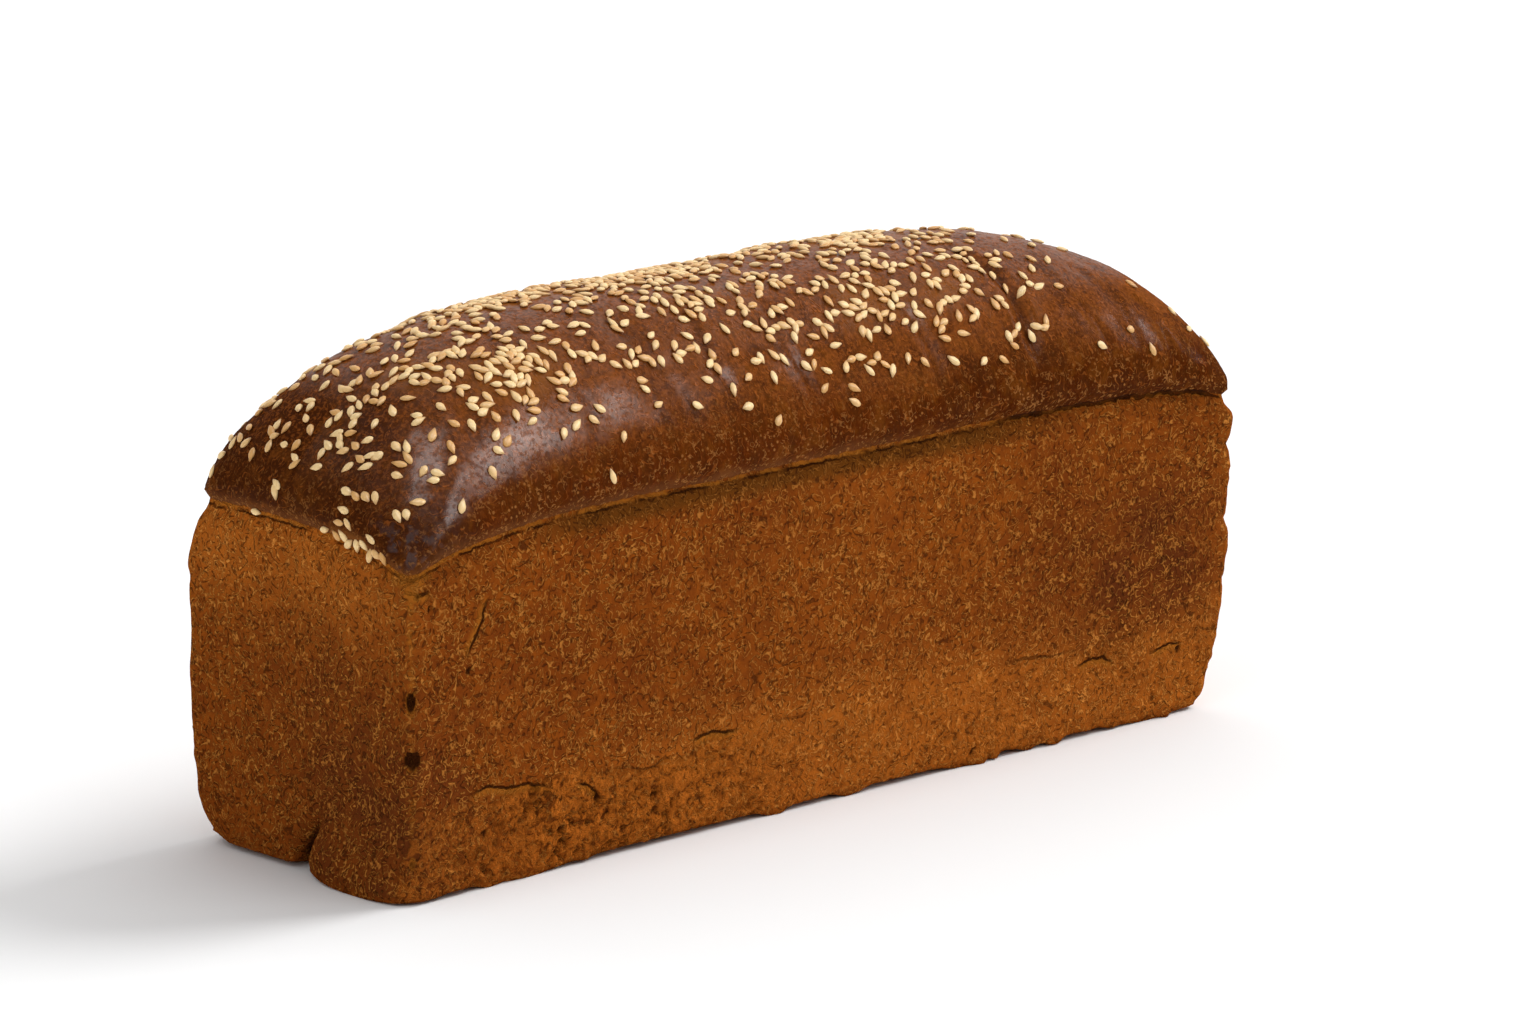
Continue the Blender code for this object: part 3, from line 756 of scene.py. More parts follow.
    # Painted shade: the walls are darkened low by the near left edge, low and in the middle of the left
    # end, and halfway up the front near the right end.
    near_edge = bell(np.hypot(x + loaf.half_x - 0.008, 0.5 * (y + loaf.half_y)), 0.020)
    low = 1 - smooth((z - 0.015) / 0.055)
    far = bell(x - 0.118, 0.034) * bell(z - 0.047, 0.026) * on_front
    end = at_end * smooth((0.012 - y) / 0.03)
    end_middle = at_end * bell(y + 0.010, 0.024) * bell(z - 0.055, 0.022)
    dim = 0.9 * near_edge * low + 1.2 * far + 0.5 * end * low + 0.45 * end_middle
    masks["dim"] = np.clip(dim, 0, 1) * wall
    masks["above"] = above
    masks["pit_shade"] = pit_shade
    masks["torn"] = torn
    masks["band"] = band
    masks["painted_crease_shadow"] = painted_crease_shadow
    masks["gaping"] = np.clip(crease_front * open_right * (0.4 + tear_wave), 0, 1)
    masks["fold"] = np.clip(loaf.fold_depth(x, y, z) / 0.0012, 0, 1)
    for name, values in masks.items():
        store(mesh, name, values)


# ---------------------------------------------------------------- node helpers


class Nodes:
    """Adds shader nodes to a tree, joins them, and returns their outputs."""

    def __init__(self, tree):
        self.tree = tree

    def add(self, kind, inputs=None, **settings):
        """One node, with settings on it and values or outputs in its inputs."""
        node = self.tree.nodes.new(kind)
        for name, value in settings.items():
            setattr(node, name, value)
        for key, value in (inputs or {}).items():
            self.put(node.inputs[key], value)
        return node

    def put(self, socket, value):
        """Sets a socket to a value, or joins an output to it."""
        if isinstance(value, bpy.types.NodeSocket):
            self.tree.links.new(value, socket)
        elif socket.type == "RGBA":
            socket.default_value = (*value[:3], 1.0)
        else:
            socket.default_value = value

    def attribute(self, name):
        """A number kept on the mesh."""
        return self.add("ShaderNodeAttribute", attribute_name=name).outputs["Fac"]

    def math(self, operation, a, b=0.0, clamp=False):
        """Arithmetic on two numbers."""
        return self.add("ShaderNodeMath", {0: a, 1: b}, operation=operation, use_clamp=clamp).outputs[0]

    def times(self, a, b):
        """Product of two numbers."""
        return self.math("MULTIPLY", a, b)

    def plus(self, a, b):
        """Sum of two numbers."""
        return self.math("ADD", a, b)

    def minus(self, a, b, clamp=False):
        """The first number less the second."""
        return self.math("SUBTRACT", a, b, clamp)

    def most(self, a, b):
        """The larger of two numbers."""
        return self.math("MAXIMUM", a, b)

    def without(self, value, share):
        """1 less a share of a value."""
        return self.minus(1.0, self.times(value, share))

    def ramp(self, value, low, high, to_low=0.0, to_high=1.0):
        """Carries a value smoothly from one range to another."""
        inputs = {"Value": value, "From Min": low, "From Max": high, "To Min": to_low, "To Max": to_high}
        return self.add("ShaderNodeMapRange", inputs, interpolation_type="SMOOTHSTEP").outputs[0]

    def mix(self, factor, a, b, blend="MIX"):
        """A colour between two colours."""
        node = self.add("ShaderNodeMix", data_type="RGBA", blend_type=blend)
        node.clamp_factor = True
        self.put(node.inputs["Factor"], factor)
        self.put(node.inputs[6], a)
        self.put(node.inputs[7], b)
        return node.outputs[2]

    def noise(self, vector, scale, detail=2.0, roughness=0.5, distortion=0.0):
        """Noise with this many lumps to a metre, about 0.5 on average."""
        inputs = {
            "Vector": vector, "Scale": scale, "Detail": detail,
            "Roughness": roughness, "Distortion": distortion,
        }
        return self.add("ShaderNodeTexNoise", inputs).outputs["Fac"]

    def cells(self, vector, scale):
        """Distance to the nearest of a scatter of points."""
        return self.add("ShaderNodeTexVoronoi", {"Vector": vector, "Scale": scale}).outputs["Distance"]

    def dots(self, vector, scale, edge, core, patches, low, high):
        """A scatter of dots from their edge in to their core, kept where a noise is high."""
        dot = self.ramp(self.cells(vector, scale), edge, core)
        return self.times(dot, self.ramp(self.noise(vector, patches), low, high))

    def bump(self, height, strength, distance):
        """A bumped normal out of a height."""
        inputs = {"Height": height, "Strength": strength, "Distance": distance}
        return self.add("ShaderNodeBump", inputs).outputs["Normal"]

    def ridges(self, vector, scale, turns, low, high):
        """Fine crowded wavy lines, like the skin of pressed dough: bands of a noise's height."""
        height = self.noise(vector, scale, 1.0, 0.5, 0.4)
        wave = self.math("SINE", self.times(height, turns * 2 * math.pi))
        return self.ramp(wave, low, high)

    def squiggles(self, vector, scale, width, keep):
        """Short worm-like lines: the middle contour of a noise, broken up by another."""
        contour = self.math("ABSOLUTE", self.minus(self.noise(vector, scale, 1.0, 0.4, 0.3), 0.5))
        line = self.ramp(contour, width, 0.0)
        return self.times(line, self.ramp(self.noise(vector, scale * 0.8, 0.0), keep, keep + 0.06))


def new_material(name):
    """A material with its tree's helper and its Principled shader."""
    material = bpy.data.materials.new(name)
    material.use_nodes = True
    return material, Nodes(material.node_tree), material.node_tree.nodes["Principled BSDF"]


# ---------------------------------------------------------------- materials

# Colours of small areas, as red, green and blue.
SHADED_WALL = (0.102, 0.0245, 0.0065)
# Painted shadow colour for the wall just under the crease.
CREASE_SHADOW_WALL = (0.104, 0.0360, 0.0050)
ORANGE_CROWN = (0.170, 0.0480, 0.0055)
# Painted bounce light: warmer, lighter crust where the seeds lie thick.
PAINTED_BOUNCE_GLOW = (0.250, 0.0800, 0.0115)
DUSTY_FLANK = (0.175, 0.062, 0.020)
# Painted glint colour, blue-grey.
GLINT_GREY = (0.075, 0.066, 0.072)
SEED_TIP = (0.36, 0.14, 0.025)
STREAK_STRETCH = (1.0, 0.25, 0.25)  # streaks run down the crown's flanks

# Bump of each material: strength and distance in metres.
CRUST_BUMP = (0.85, 0.00045)
SEED_BUMP = (0.25, 0.0001)


def scaled(values, by):
    """A colour made darker or lighter."""
    return [v * by for v in values]


def crack(n, gap, opening, wobble, width):
    """A thin ragged line where a signed distance is 0, as dark as it is open."""
    away = n.math("ABSOLUTE", n.plus(gap, n.times(wobble, 0.0018)))
    return n.times(n.ramp(away, width, 0.3 * width), opening)


def wall_colour(n, place, colours):
    """Orange-brown tin-baked crust with crowded light squiggles; also returns its height."""
    patches = n.ramp(n.noise(place, 22, 4.0, 0.6), 0.42, 0.66)
    wall = n.mix(n.times(patches, 0.56), colours.wall, colours.wall_dark)
    mottle = n.ramp(n.noise(place, 260, 3.0, 0.6), 0.36, 0.66)
    wall = n.mix(n.times(mottle, 0.50), wall, colours.wall_dark)
    wall = n.mix(n.times(n.attribute("band"), 0.22), wall, scaled(colours.golden, 1.3))
    warm = n.times(n.attribute("golden"), n.ramp(n.noise(place, 48, 4.0, 0.6), 0.34, 0.58, 0.55, 1.0))
    wall = n.mix(warm, wall, colours.golden)
    wall = n.mix(n.times(mottle, 0.30), wall, colours.wall_dark)
    # Painted shade from the dim mask.
    clouds = n.ramp(n.noise(place, 70, 3.0), 0.30, 0.60, 0.4, 1.0)
    shaded = n.times(n.times(n.attribute("dim"), clouds), 0.86)
    wall = n.mix(shaded, wall, SHADED_WALL)
    # Painted shadow under the crease, which also mutes the flecks there.
    painted_crease_shadow = n.times(n.attribute("painted_crease_shadow"), 0.80)
    wall = n.mix(painted_crease_shadow, wall, CREASE_SHADOW_WALL)
    crowded = n.ridges(place, 260, 7.0, 0.25, 0.95)
    crowded = n.times(crowded, n.ramp(n.noise(place, 700, 1.0), 0.40, 0.60))
    wide = n.squiggles(place, 430, 0.060, 0.50)
    grains = n.dots(place, 520, 0.26, 0.10, 160, 0.44, 0.60)
    flecks = n.most(n.times(crowded, 0.95), n.times(wide, 0.95))
    flecks = n.most(flecks, n.times(grains, 0.90))
    flecks = n.times(flecks, n.ramp(n.noise(place, 60, 2.0), 0.30, 0.62, 0.55, 1.0))
    dimmed = n.times(flecks, n.without(painted_crease_shadow, 0.70))
    golden = n.attribute("golden")
    wall = n.mix(dimmed, wall, n.mix(golden, colours.fleck, scaled(colours.fleck, 1.35)))
    # Painted shade: fine furrows, pricks and the pores of the band are darkened as small hollows.
    furrows = n.times(n.ridges(place, 230, 6.0, 0.55, 1.0), n.ramp(n.noise(place, 540), 0.42, 0.58))
    pricks = n.dots(place, 400, 0.20, 0.07, 110, 0.48, 0.62)
    bores = n.times(n.dots(place, 290, 0.26, 0.13, 95, 0.38, 0.50), n.attribute("band"))
    dark = n.most(n.times(furrows, 0.66), n.times(pricks, 0.75))
    dark = n.most(dark, n.times(bores, 0.60))
    wall = n.mix(dark, wall, scaled(colours.pit_shade, 1.5))
    bump = n.minus(n.times(flecks, 2.0), n.times(dark, 2.0))
    bump = n.minus(bump, n.times(mottle, 0.5))
    # Lighter lumps and darker hollows of the crumbly band: partly the crust's own colour, partly painted
    # highlight on the lumps and painted shade in the hollows.
    crumbly, lumps = n.attribute("crumbly"), n.noise(place, 340, 3.0, 0.6, 1.2)
    ridges = n.times(crumbly, n.ramp(lumps, 0.42, 0.56, 0.0, 0.85))
    wall = n.mix(ridges, wall, scaled(colours.golden, 1.45))
    hollows = n.times(crumbly, n.ramp(lumps, 0.42, 0.35, 0.0, 0.60))
    wall = n.mix(hollows, wall, scaled(colours.burnt_and_shade, 2.2))
    bump = n.plus(bump, n.times(n.times(crumbly, lumps), 20.0))
    return wall, n.plus(bump, n.times(n.noise(place, 1500, 2.0), 0.4))


def torn_lines(n, wall, wobble, colours):
    """Adds the tears of the long walls and the crack over their foot; also returns how deep."""
    tear_gap, tear_open = n.attribute("tear"), n.attribute("tear_open")
    tear = crack(n, tear_gap, tear_open, wobble, 0.00055)
    ledge = crack(n, n.attribute("ledge"), n.attribute("ledge_open"), wobble, 0.00050)
    below = n.times(n.ramp(tear_gap, -0.0028, -0.0008), n.ramp(tear_gap, 0.0003, -0.0002))
    lip = n.times(n.times(below, tear_open), 0.55)
    wall = n.mix(lip, wall, colours.torn)
    # Painted shade: the tears and the crack over the foot are painted as dark lines.
    lines = n.most(tear, n.times(ledge, 0.75))
    return n.mix(n.times(lines, 0.92), wall, colours.pit_shade), lines


def crown_colour(n, place, colours, above, dark_end, sown):
    """Glazed brown crown, darker and speckled low on its flank; also returns its height."""
    drift = n.times(n.minus(n.noise(place, 60, 3.0), 0.5), 0.020)
    high = n.ramp(n.plus(above, drift), 0.008, 0.026)
    right = n.ramp(n.add("ShaderNodeSeparateXYZ", {0: place}).outputs["X"], -0.010, 0.060)
    flank = n.mix(right, colours.flank, scaled(colours.flank, 0.70))
    top = n.mix(high, flank, colours.crown)
    clouds = n.ramp(n.noise(place, 46, 4.0, 0.62), 0.40, 0.66)
    top = n.mix(n.times(clouds, 0.50), top, scaled(colours.crown, 0.45))
    top = n.mix(n.times(dark_end, 0.95), top, colours.burnt_and_shade)
    blotches = n.noise(place, 125, 3.0, 0.6, 0.8)
    orange = n.times(n.ramp(blotches, 0.51, 0.64, 0.0, 0.60), n.without(dark_end, 0.35))
    top = n.mix(orange, top, ORANGE_CROWN)
    top = n.mix(n.ramp(blotches, 0.45, 0.35, 0.0, 0.60), top, colours.burnt_and_shade)
    down = n.add("ShaderNodeVectorMath", {0: place, 1: STREAK_STRETCH}, operation="MULTIPLY")
    streaks = n.noise(down.outputs[0], 240, 3.0, 0.6, 0.5)
    top = n.mix(n.ramp(streaks, 0.50, 0.62, 0.0, 0.55), top, scaled(colours.crown, 0.38))
    skin = n.noise(place, 900, 3.0, 0.65)
    light_skin = n.ramp(skin, 0.46, 0.66, 0.0, n.plus(0.15, n.times(high, 0.40)))
    top = n.mix(light_skin, top, scaled(colours.crown, 1.75))
    top = n.mix(n.ramp(skin, 0.46, 0.34, 0.0, 0.5), top, scaled(colours.crown, 0.40))
    veins = n.ridges(place, 210, 6.0, 0.55, 1.0)
    veins = n.times(veins, n.ramp(n.noise(place, 600, 1.0), 0.44, 0.60))
    # Light fine strokes: partly the crust's own tone, partly painted sheen on the fine ridges of the
    # skin.
    top = n.mix(n.times(veins, 0.44), top, scaled(colours.crown, 2.1))
    # Painted bounce light: the crust turns lighter orange where the seeds lie thick, standing in for
    # light the seeds throw onto it.
    top = n.mix(n.ramp(sown, 0.35, 0.75, 0.0, 0.60), top, PAINTED_BOUNCE_GLOW)
    dusty = n.ramp(n.plus(above, n.times(n.noise(place, 90, 2.0), 0.005)), 0.0072, 0.0022)
    dusty = n.times(dusty, n.minus(0.66, n.times(right, 0.62)))
    top = n.mix(dusty, top, DUSTY_FLANK)
    # Painted glint: blue-grey patches near the crown's near left corner tip.
    painted_glint = n.times(n.attribute("painted_glint"), n.ramp(n.noise(place, 260, 2.0), 0.50, 0.62))
    top = n.mix(n.times(painted_glint, 0.55), top, GLINT_GREY)
    low = n.ramp(n.plus(above, n.times(n.noise(place, 40, 2.0), 0.016)), 0.034, 0.008)
    specks = n.dots(place, 560, 0.30, 0.14, 210, 0.40, 0.54)
    specks = n.most(specks, n.squiggles(place, 620, 0.060, 0.53))
    specks = n.times(specks, low)
    specks = n.times(specks, n.without(dark_end, 0.5))
    top = n.mix(n.times(specks, 0.90), top, colours.speck)
    # Painted shade in the folds of the crown.
    top = n.mix(n.times(n.attribute("fold"), 0.50), top, colours.burnt_and_shade)
    bump = n.plus(n.times(skin, 0.35), n.times(n.noise(place, 330, 2.0), 0.30))
    bump = n.plus(bump, n.minus(veins, n.times(streaks, 2.2)))
    return top, n.plus(bump, n.times(specks, 0.5))


def crust_material(colours):
    """Glossy chocolate-brown crown over matte orange-brown walls, with an orange lip between."""
    material, n, shader = new_material("baked_crust")
    place = n.add("ShaderNodeTexCoord").outputs["Object"]
    above, pit_shade, torn = n.attribute("above"), n.attribute("pit_shade"), n.attribute("torn")
    wobble = n.minus(n.noise(place, 300, 3.0, 0.6), 0.5)
    over_rim = n.plus(above, n.times(wobble, 0.0020))
    crown = n.ramp(over_rim, 0.0001, 0.0007)
    wall, wall_bump = wall_colour(n, place, colours)
    wall, lines = torn_lines(n, wall, wobble, colours)
    wall_bump = n.minus(wall_bump, n.times(lines, 4.0))
    top, top_bump = crown_colour(n, place, colours, above, n.attribute("dark_end"), n.attribute("sown"))
    shade = n.mix(crown, wall, top)

    from_lip = n.math("ABSOLUTE", n.plus(over_rim, 0.0002))
    lip = n.times(n.ramp(from_lip, 0.0007, 0.0002), n.ramp(n.noise(place, 170, 2.0), 0.36, 0.56))
    shade = n.mix(n.times(lip, 0.60), shade, colours.torn)
    # Painted shade: the crease's crack is painted as a dark, broken line, wider where it gapes.
    gaping = n.attribute("gaping")
    crease = n.minus(n.times(gaping, 0.0011), 0.0009)
    off_crease = n.math("ABSOLUTE", n.minus(over_rim, crease))
    slit = n.ramp(n.minus(off_crease, n.times(gaping, 0.00035)), 0.0004, 0.0001)
    broken = n.ramp(n.noise(place, 90, 3.0), 0.44, 0.56)
    slit = n.times(slit, n.most(gaping, n.times(broken, 0.9)))
    shade = n.mix(n.times(slit, 0.92), shade, colours.pit_shade)
    ragged = n.ramp(n.plus(torn, n.times(n.noise(place, 480, 3.0), 0.9)), 0.74, 1.16)
    shade = n.mix(n.times(ragged, 0.55), shade, colours.torn)
    # Painted shade inside holes, pits, pores and the seam.
    shade = n.mix(n.ramp(pit_shade, 0.15, 0.85, 0.0, 0.92), shade, colours.pit_shade)
    n.put(shader.inputs["Base Color"], shade)

    shader.inputs["Specular IOR Level"].default_value = 0.0
    shader.inputs["Coat Roughness"].default_value = 0.22
    n.put(shader.inputs["Roughness"], n.ramp(wall_bump, 0.0, 1.5, 0.80, 0.62))
    gloss = n.ramp(n.noise(place, 100, 3.0, 0.5), 0.30, 0.60, 0.26, 0.40)
    coat = n.times(gloss, n.attribute("shine"))
    coat = n.times(coat, crown)
    coat = n.times(coat, n.without(specks_off(n, place), 0.60))
    n.put(shader.inputs["Coat Weight"], n.times(coat, n.minus(1.0, pit_shade, clamp=True)))

    height = n.add("ShaderNodeMix", data_type="FLOAT")
    n.put(height.inputs["Factor"], crown)
    n.put(height.inputs[2], wall_bump)
    n.put(height.inputs[3], top_bump)
    sunk = n.minus(height.outputs[0], n.times(slit, 2.5))
    n.put(shader.inputs["Normal"], n.bump(sunk, *CRUST_BUMP))
    return material


def specks_off(n, place):
    """Dull specks that break up the gloss of the crown."""
    return n.ramp(n.noise(place, 700, 2.0, 0.6), 0.48, 0.60)


def sesame_material(colours):
    """Cream sesame, some seeds more golden than others, darker at the tip."""
    material, n, shader = new_material("sesame")
    place = n.add("ShaderNodeTexCoord").outputs["Object"]
    tone, tip = n.attribute("tone"), n.attribute("tip")
    shade = n.mix(n.ramp(tone, 0.25, 1.0), colours.seed, colours.seed_toasted)
    grain = n.ramp(n.noise(place, 1800, 2.0), 0.35, 0.7)
    shade = n.mix(n.times(grain, 0.22), shade, colours.seed_toasted)
    shade = n.mix(n.ramp(tip, 0.62, 1.0, 0.0, 0.7), shade, SEED_TIP)
    n.put(shader.inputs["Base Color"], shade)
    n.put(shader.inputs["Roughness"], n.ramp(grain, 0.0, 1.0, 0.38, 0.52))
    n.put(shader.inputs["Normal"], n.bump(n.noise(place, 2600, 1.0), *SEED_BUMP))
    return material


def table_material(colours):
    """Smooth matte table top."""
    material, n, shader = new_material("table_top")
    n.put(shader.inputs["Base Color"], colours.table)
    shader.inputs["Roughness"].default_value = 0.9
    shader.inputs["Specular IOR Level"].default_value = 0.0
    return material


# ---------------------------------------------------------------- the crust

CELLS_ACROSS_SHARE, CELLS_UP_SHARE = 0.43, 0.33
CROWD_LONG, CROWD_ACROSS = 0.45, 0.62


def crust_mesh(sizes):
    """The finely divided loaf with its relief and masks."""
    long_cells = sizes.cells
    bm = unit_cube(long_cells, round(long_cells * CELLS_ACROSS_SHARE), round(long_cells * CELLS_UP_SHARE))
    mesh = bpy.data.meshes.new("crust")
    bm.to_mesh(mesh)
    bm.free()
    cube = coordinates(mesh)
    for axis, crowding in enumerate((CROWD_LONG, CROWD_ACROSS, CROWD_LONG)):
        cube[:, axis] = spaced(cube[:, axis], crowding)
    loaf = Loaf(sizes)
    store(mesh, "sown", seed_density(cube[:, 0], cube[:, 1], loaf.half_x) * (cube[:, 2] > 0.999))
    move_to(mesh, loaf.points(cube))
    relieve(loaf, mesh)
    flatten_base(mesh)
    mesh.transform(Matrix.Translation((ORIGIN_SHIFT, 0, 0)))
    mesh.shade_smooth()
    return mesh


class LOAF_OT_crust(bpy.types.Operator):
    """Bakes the loaf's crust: walls, crease and crown"""

    bl_idname = "loaf.crust"
    bl_label = "Bake crust"

    def execute(self, context):
        scene = context.scene
        crust = new_object("crust", crust_mesh(scene.loaf_sizes))
        crust.data.materials.append(crust_material(scene.loaf_colours))
        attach(crust, "root")
        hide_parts("loaf")
        return {"FINISHED"}


# ---------------------------------------------------------------- the sesame

# Where sesame lies: (x, height share across, half length, half width, seeds there).
# The second number runs from -1 at the front rim over 0 at the ridge to 1 at the back rim.
SEED_SPOTS = (
    (-0.105, -0.60, 0.017, 0.17, 0.50),
    (-0.122, -0.25, 0.022, 0.25, 0.15),
    (-0.062, 0.14, 0.036, 0.15, 0.65),
    (-0.020, 0.12, 0.026, 0.15, 0.50),
    (0.050, 0.05, 0.020, 0.20, 0.60),
    (-0.020, -0.40, 0.050, 0.20, 0.12),
    (0.040, -0.66, 0.034, 0.15, 0.22),
    (-0.040, 0.50, 0.090, 0.22, 0.12),
    (-0.15375, -0.52, 0.0009, 0.26, 0.95),
    (0.115, 0.20, 0.018, 0.12, 0.20),
)
SEED_SIDES, SEED_RINGS = 8, 6
SEED_TIP_UP = 0.16  # how far a seed may tip off the crust, in radians
FEWEST_VERTICES = 1000


def seed_density(a, b, half_x):
    """How thickly the seeds lie over the crown, from 0 to 1."""
    x = a * half_x
    rows = smooth((0.99 - np.abs(b)) / 0.24)
    ends = smooth((a + 1.0) / 0.03) * (1 - 0.84 * smooth((a - 0.45) / 0.16))
    density = 0.30 * np.ones_like(a) * ends
    for spot_x, spot_b, half_long, half_wide, much in SEED_SPOTS:
        density = density + much * bell(x - spot_x, half_long) * bell(b - spot_b, half_wide)
    clumps = noise(np.stack((x, 0.05 * b, 0.0 * b), 1), 85, 77)
    return np.clip(density * rows * (1 + 0.60 * clumps), 0, 1)


def sown_surface(sizes):
    """The crown alone, with the seeds' density on it, for scattering."""
    bm = bmesh.new()
    bmesh.ops.create_grid(bm, x_segments=120, y_segments=56, size=1.0)
    mesh = bpy.data.meshes.new("sown_surface")
    bm.to_mesh(mesh)
    bm.free()
    cube = coordinates(mesh)
    a, b = spaced(cube[:, 0], CROWD_LONG), spaced(cube[:, 1], CROWD_ACROSS)
    loaf = Loaf(sizes)
    cube[:, 0], cube[:, 1], cube[:, 2] = a, b, 1.0
    points = loaf.points(cube)
    move_to(mesh, points)
    x, y, z = points.T
    relief = loaf.undulation(x, y, z) - loaf.fold_depth(x, y, z)
    move_to(mesh, points + normals(mesh) * relief[:, None])
    store(mesh, "sown", seed_density(a, b, loaf.half_x))
    return mesh


def seed_mesh(sizes):
    """One sesame seed: a flattened drop, pointed at +Y."""
    bm = bmesh.new()
    bmesh.ops.create_uvsphere(bm, u_segments=SEED_SIDES, v_segments=SEED_RINGS, radius=0.5)
    bmesh.ops.rotate(bm, verts=bm.verts, matrix=Matrix.Rotation(-math.pi / 2, 3, "X"))
    mesh = bpy.data.meshes.new("seed")
    bm.to_mesh(mesh)
    bm.free()
    points = coordinates(mesh)
    along = points[:, 1] + 0.5
    taper = 1.0 - 0.55 * smooth((along - 0.35) / 0.65) - 0.10 * smooth((0.3 - along) / 0.3)
    points[:, 0] *= taper * sizes.width
    points[:, 2] *= taper**0.6 * sizes.thickness
    points[:, 1] *= sizes.length
    move_to(mesh, points)
    store(mesh, "tip", along)
    mesh.shade_smooth()
    return mesh


def socket_id(tree, name):
    """The identifier of a tree's named input."""
    return next(i.identifier for i in tree.interface.items_tree if i.name == name and i.in_out == "INPUT")


def strewing_tree(material):
    """Scatters, lays down and colours the seeds."""
    tree = bpy.data.node_groups.new("strew_seeds", "GeometryNodeTree")
    face = tree.interface
    inputs = {"Geometry": "Geometry", "Seed": "Object", "Gap": "Float", "Most": "Float", "Lift": "Float",
              "Draw": "Int"}
    for name, kind in inputs.items():
        face.new_socket(name, in_out="INPUT", socket_type="NodeSocket" + kind)
    face.new_socket("Geometry", in_out="OUTPUT", socket_type="NodeSocketGeometry")
    n = Nodes(tree)
    given = n.add("NodeGroupInput").outputs
    density = n.add("GeometryNodeInputNamedAttribute", {"Name": "sown"}, data_type="FLOAT")
    spread = n.add(
        "GeometryNodeDistributePointsOnFaces",
        {"Mesh": given["Geometry"], "Distance Min": given["Gap"], "Density Max": given["Most"],
         "Density Factor": density.outputs[0], "Seed": given["Draw"]},
        distribute_method="POISSON",
    )
    raised = n.add("ShaderNodeVectorMath", {0: spread.outputs["Normal"]}, operation="SCALE")
    n.put(raised.inputs["Scale"], given["Lift"])
    lifted = {"Geometry": spread.outputs["Points"], "Offset": raised.outputs[0]}
    points = n.add("GeometryNodeSetPosition", lifted)
    lying = n.add(
        "FunctionNodeAlignRotationToVector", {"Vector": spread.outputs["Normal"]}, axis="Z",
        pivot_axis="AUTO",
    )
    spin = n.add(
        "FunctionNodeRandomValue",
        {"Min": (-SEED_TIP_UP, -SEED_TIP_UP, -math.pi), "Max": (SEED_TIP_UP, SEED_TIP_UP, math.pi),
         "Seed": 3},
        data_type="FLOAT_VECTOR",
    )
    turned = n.add("FunctionNodeRotateRotation", {"Rotation": lying.outputs[0]}, rotation_space="LOCAL")
    n.put(turned.inputs["Rotate By"], spin.outputs[0])
    size = n.add(
        "FunctionNodeRandomValue", {"Min": (0.86, 0.84, 0.85), "Max": (1.10, 1.12, 1.15), "Seed": 4},
        data_type="FLOAT_VECTOR",
    )
    shape = n.add("GeometryNodeObjectInfo", {"Object": given["Seed"]})
    placed = n.add(
        "GeometryNodeInstanceOnPoints",
        {"Points": points.outputs[0], "Instance": shape.outputs["Geometry"],
         "Rotation": turned.outputs[0], "Scale": size.outputs[0]},
    )
    tone = n.add("FunctionNodeRandomValue", data_type="FLOAT")
    tone.inputs["Seed"].default_value = 8
    toned = n.add(
        "GeometryNodeStoreNamedAttribute", {"Geometry": placed.outputs[0], "Name": "tone"},
        data_type="FLOAT", domain="INSTANCE",
    )
    n.put(toned.inputs["Value"], tone.outputs[1])
    real = n.add("GeometryNodeRealizeInstances", {"Geometry": toned.outputs[0]})
    dressed = n.add("GeometryNodeSetMaterial", {"Geometry": real.outputs[0], "Material": material})
    n.add("NodeGroupOutput", {"Geometry": dressed.outputs[0]})
    return tree


def strew(sizes, surface, seed, material):
    """Runs the strewing tree and returns its seeds as a plain mesh."""
    tree = strewing_tree(material)
    modifier = surface.modifiers.new("strew", "NODES")
    modifier.node_group = tree
    lift = 0.30 * sizes.thickness
    given = {"Seed": seed, "Gap": sizes.gap, "Most": sizes.most, "Lift": lift, "Draw": sizes.draw}
    for name, value in given.items():
        modifier[socket_id(tree, name)] = value
    graph = bpy.context.evaluated_depsgraph_get()
    mesh = bpy.data.meshes.new_from_object(surface.evaluated_get(graph))
    surface.modifiers.clear()
    mesh.transform(Matrix.Translation((ORIGIN_SHIFT, 0, 0)))
    return mesh


class LOAF_OT_seeds(bpy.types.Operator):
    """Strews the sesame over the crown"""

    bl_idname = "loaf.seeds"
    bl_label = "Strew sesame"

    def execute(self, context):
        scene = context.scene
        sizes = scene.loaf_seeds
        surface = new_object("sown_surface", sown_surface(scene.loaf_sizes))
        seed = new_object("seed", seed_mesh(sizes))
        material = sesame_material(scene.loaf_colours)
        seeds = new_object("sesame_seeds", strew(sizes, surface, seed, material))
        seeds.data.name = "sesame_seeds"
        for helper in (surface, seed):
            bpy.data.objects.remove(helper)
        if len(seeds.data.vertices) < FEWEST_VERTICES:
            raise RuntimeError("the strewing made too few seeds")
        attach(seeds, "root")
        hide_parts("loaf")
        return {"FINISHED"}


# ---------------------------------------------------------------- table, light and camera

CAMERA_PLACE = (-1.36276, -1.45350, 0.53532)
CAMERA_TURN, CAMERA_TILT = -43.523, 13.068
CAMERA_LENS = 175.67
BACKDROP_WAY = (0.67, 0.72, 0.16)

# Soft boxes that shine on the crown: (name, place, what it looks at, share of the gloss, width).
GLOSS_BOXES = (
    ("left_gloss", (0.19, -0.60, 0.60), (-0.10, -0.04, 0.12), 1.15, 0.55),
    ("right_gloss", (0.80, -0.28, 0.45), (0.12, -0.04, 0.11), 0.4, 0.15),
    ("top_gloss", (-0.30, -0.22, 0.95), (-0.14, -0.03, 0.12), 0.9, 0.40),
)
GLOSS_BOX_HEIGHT = 0.30


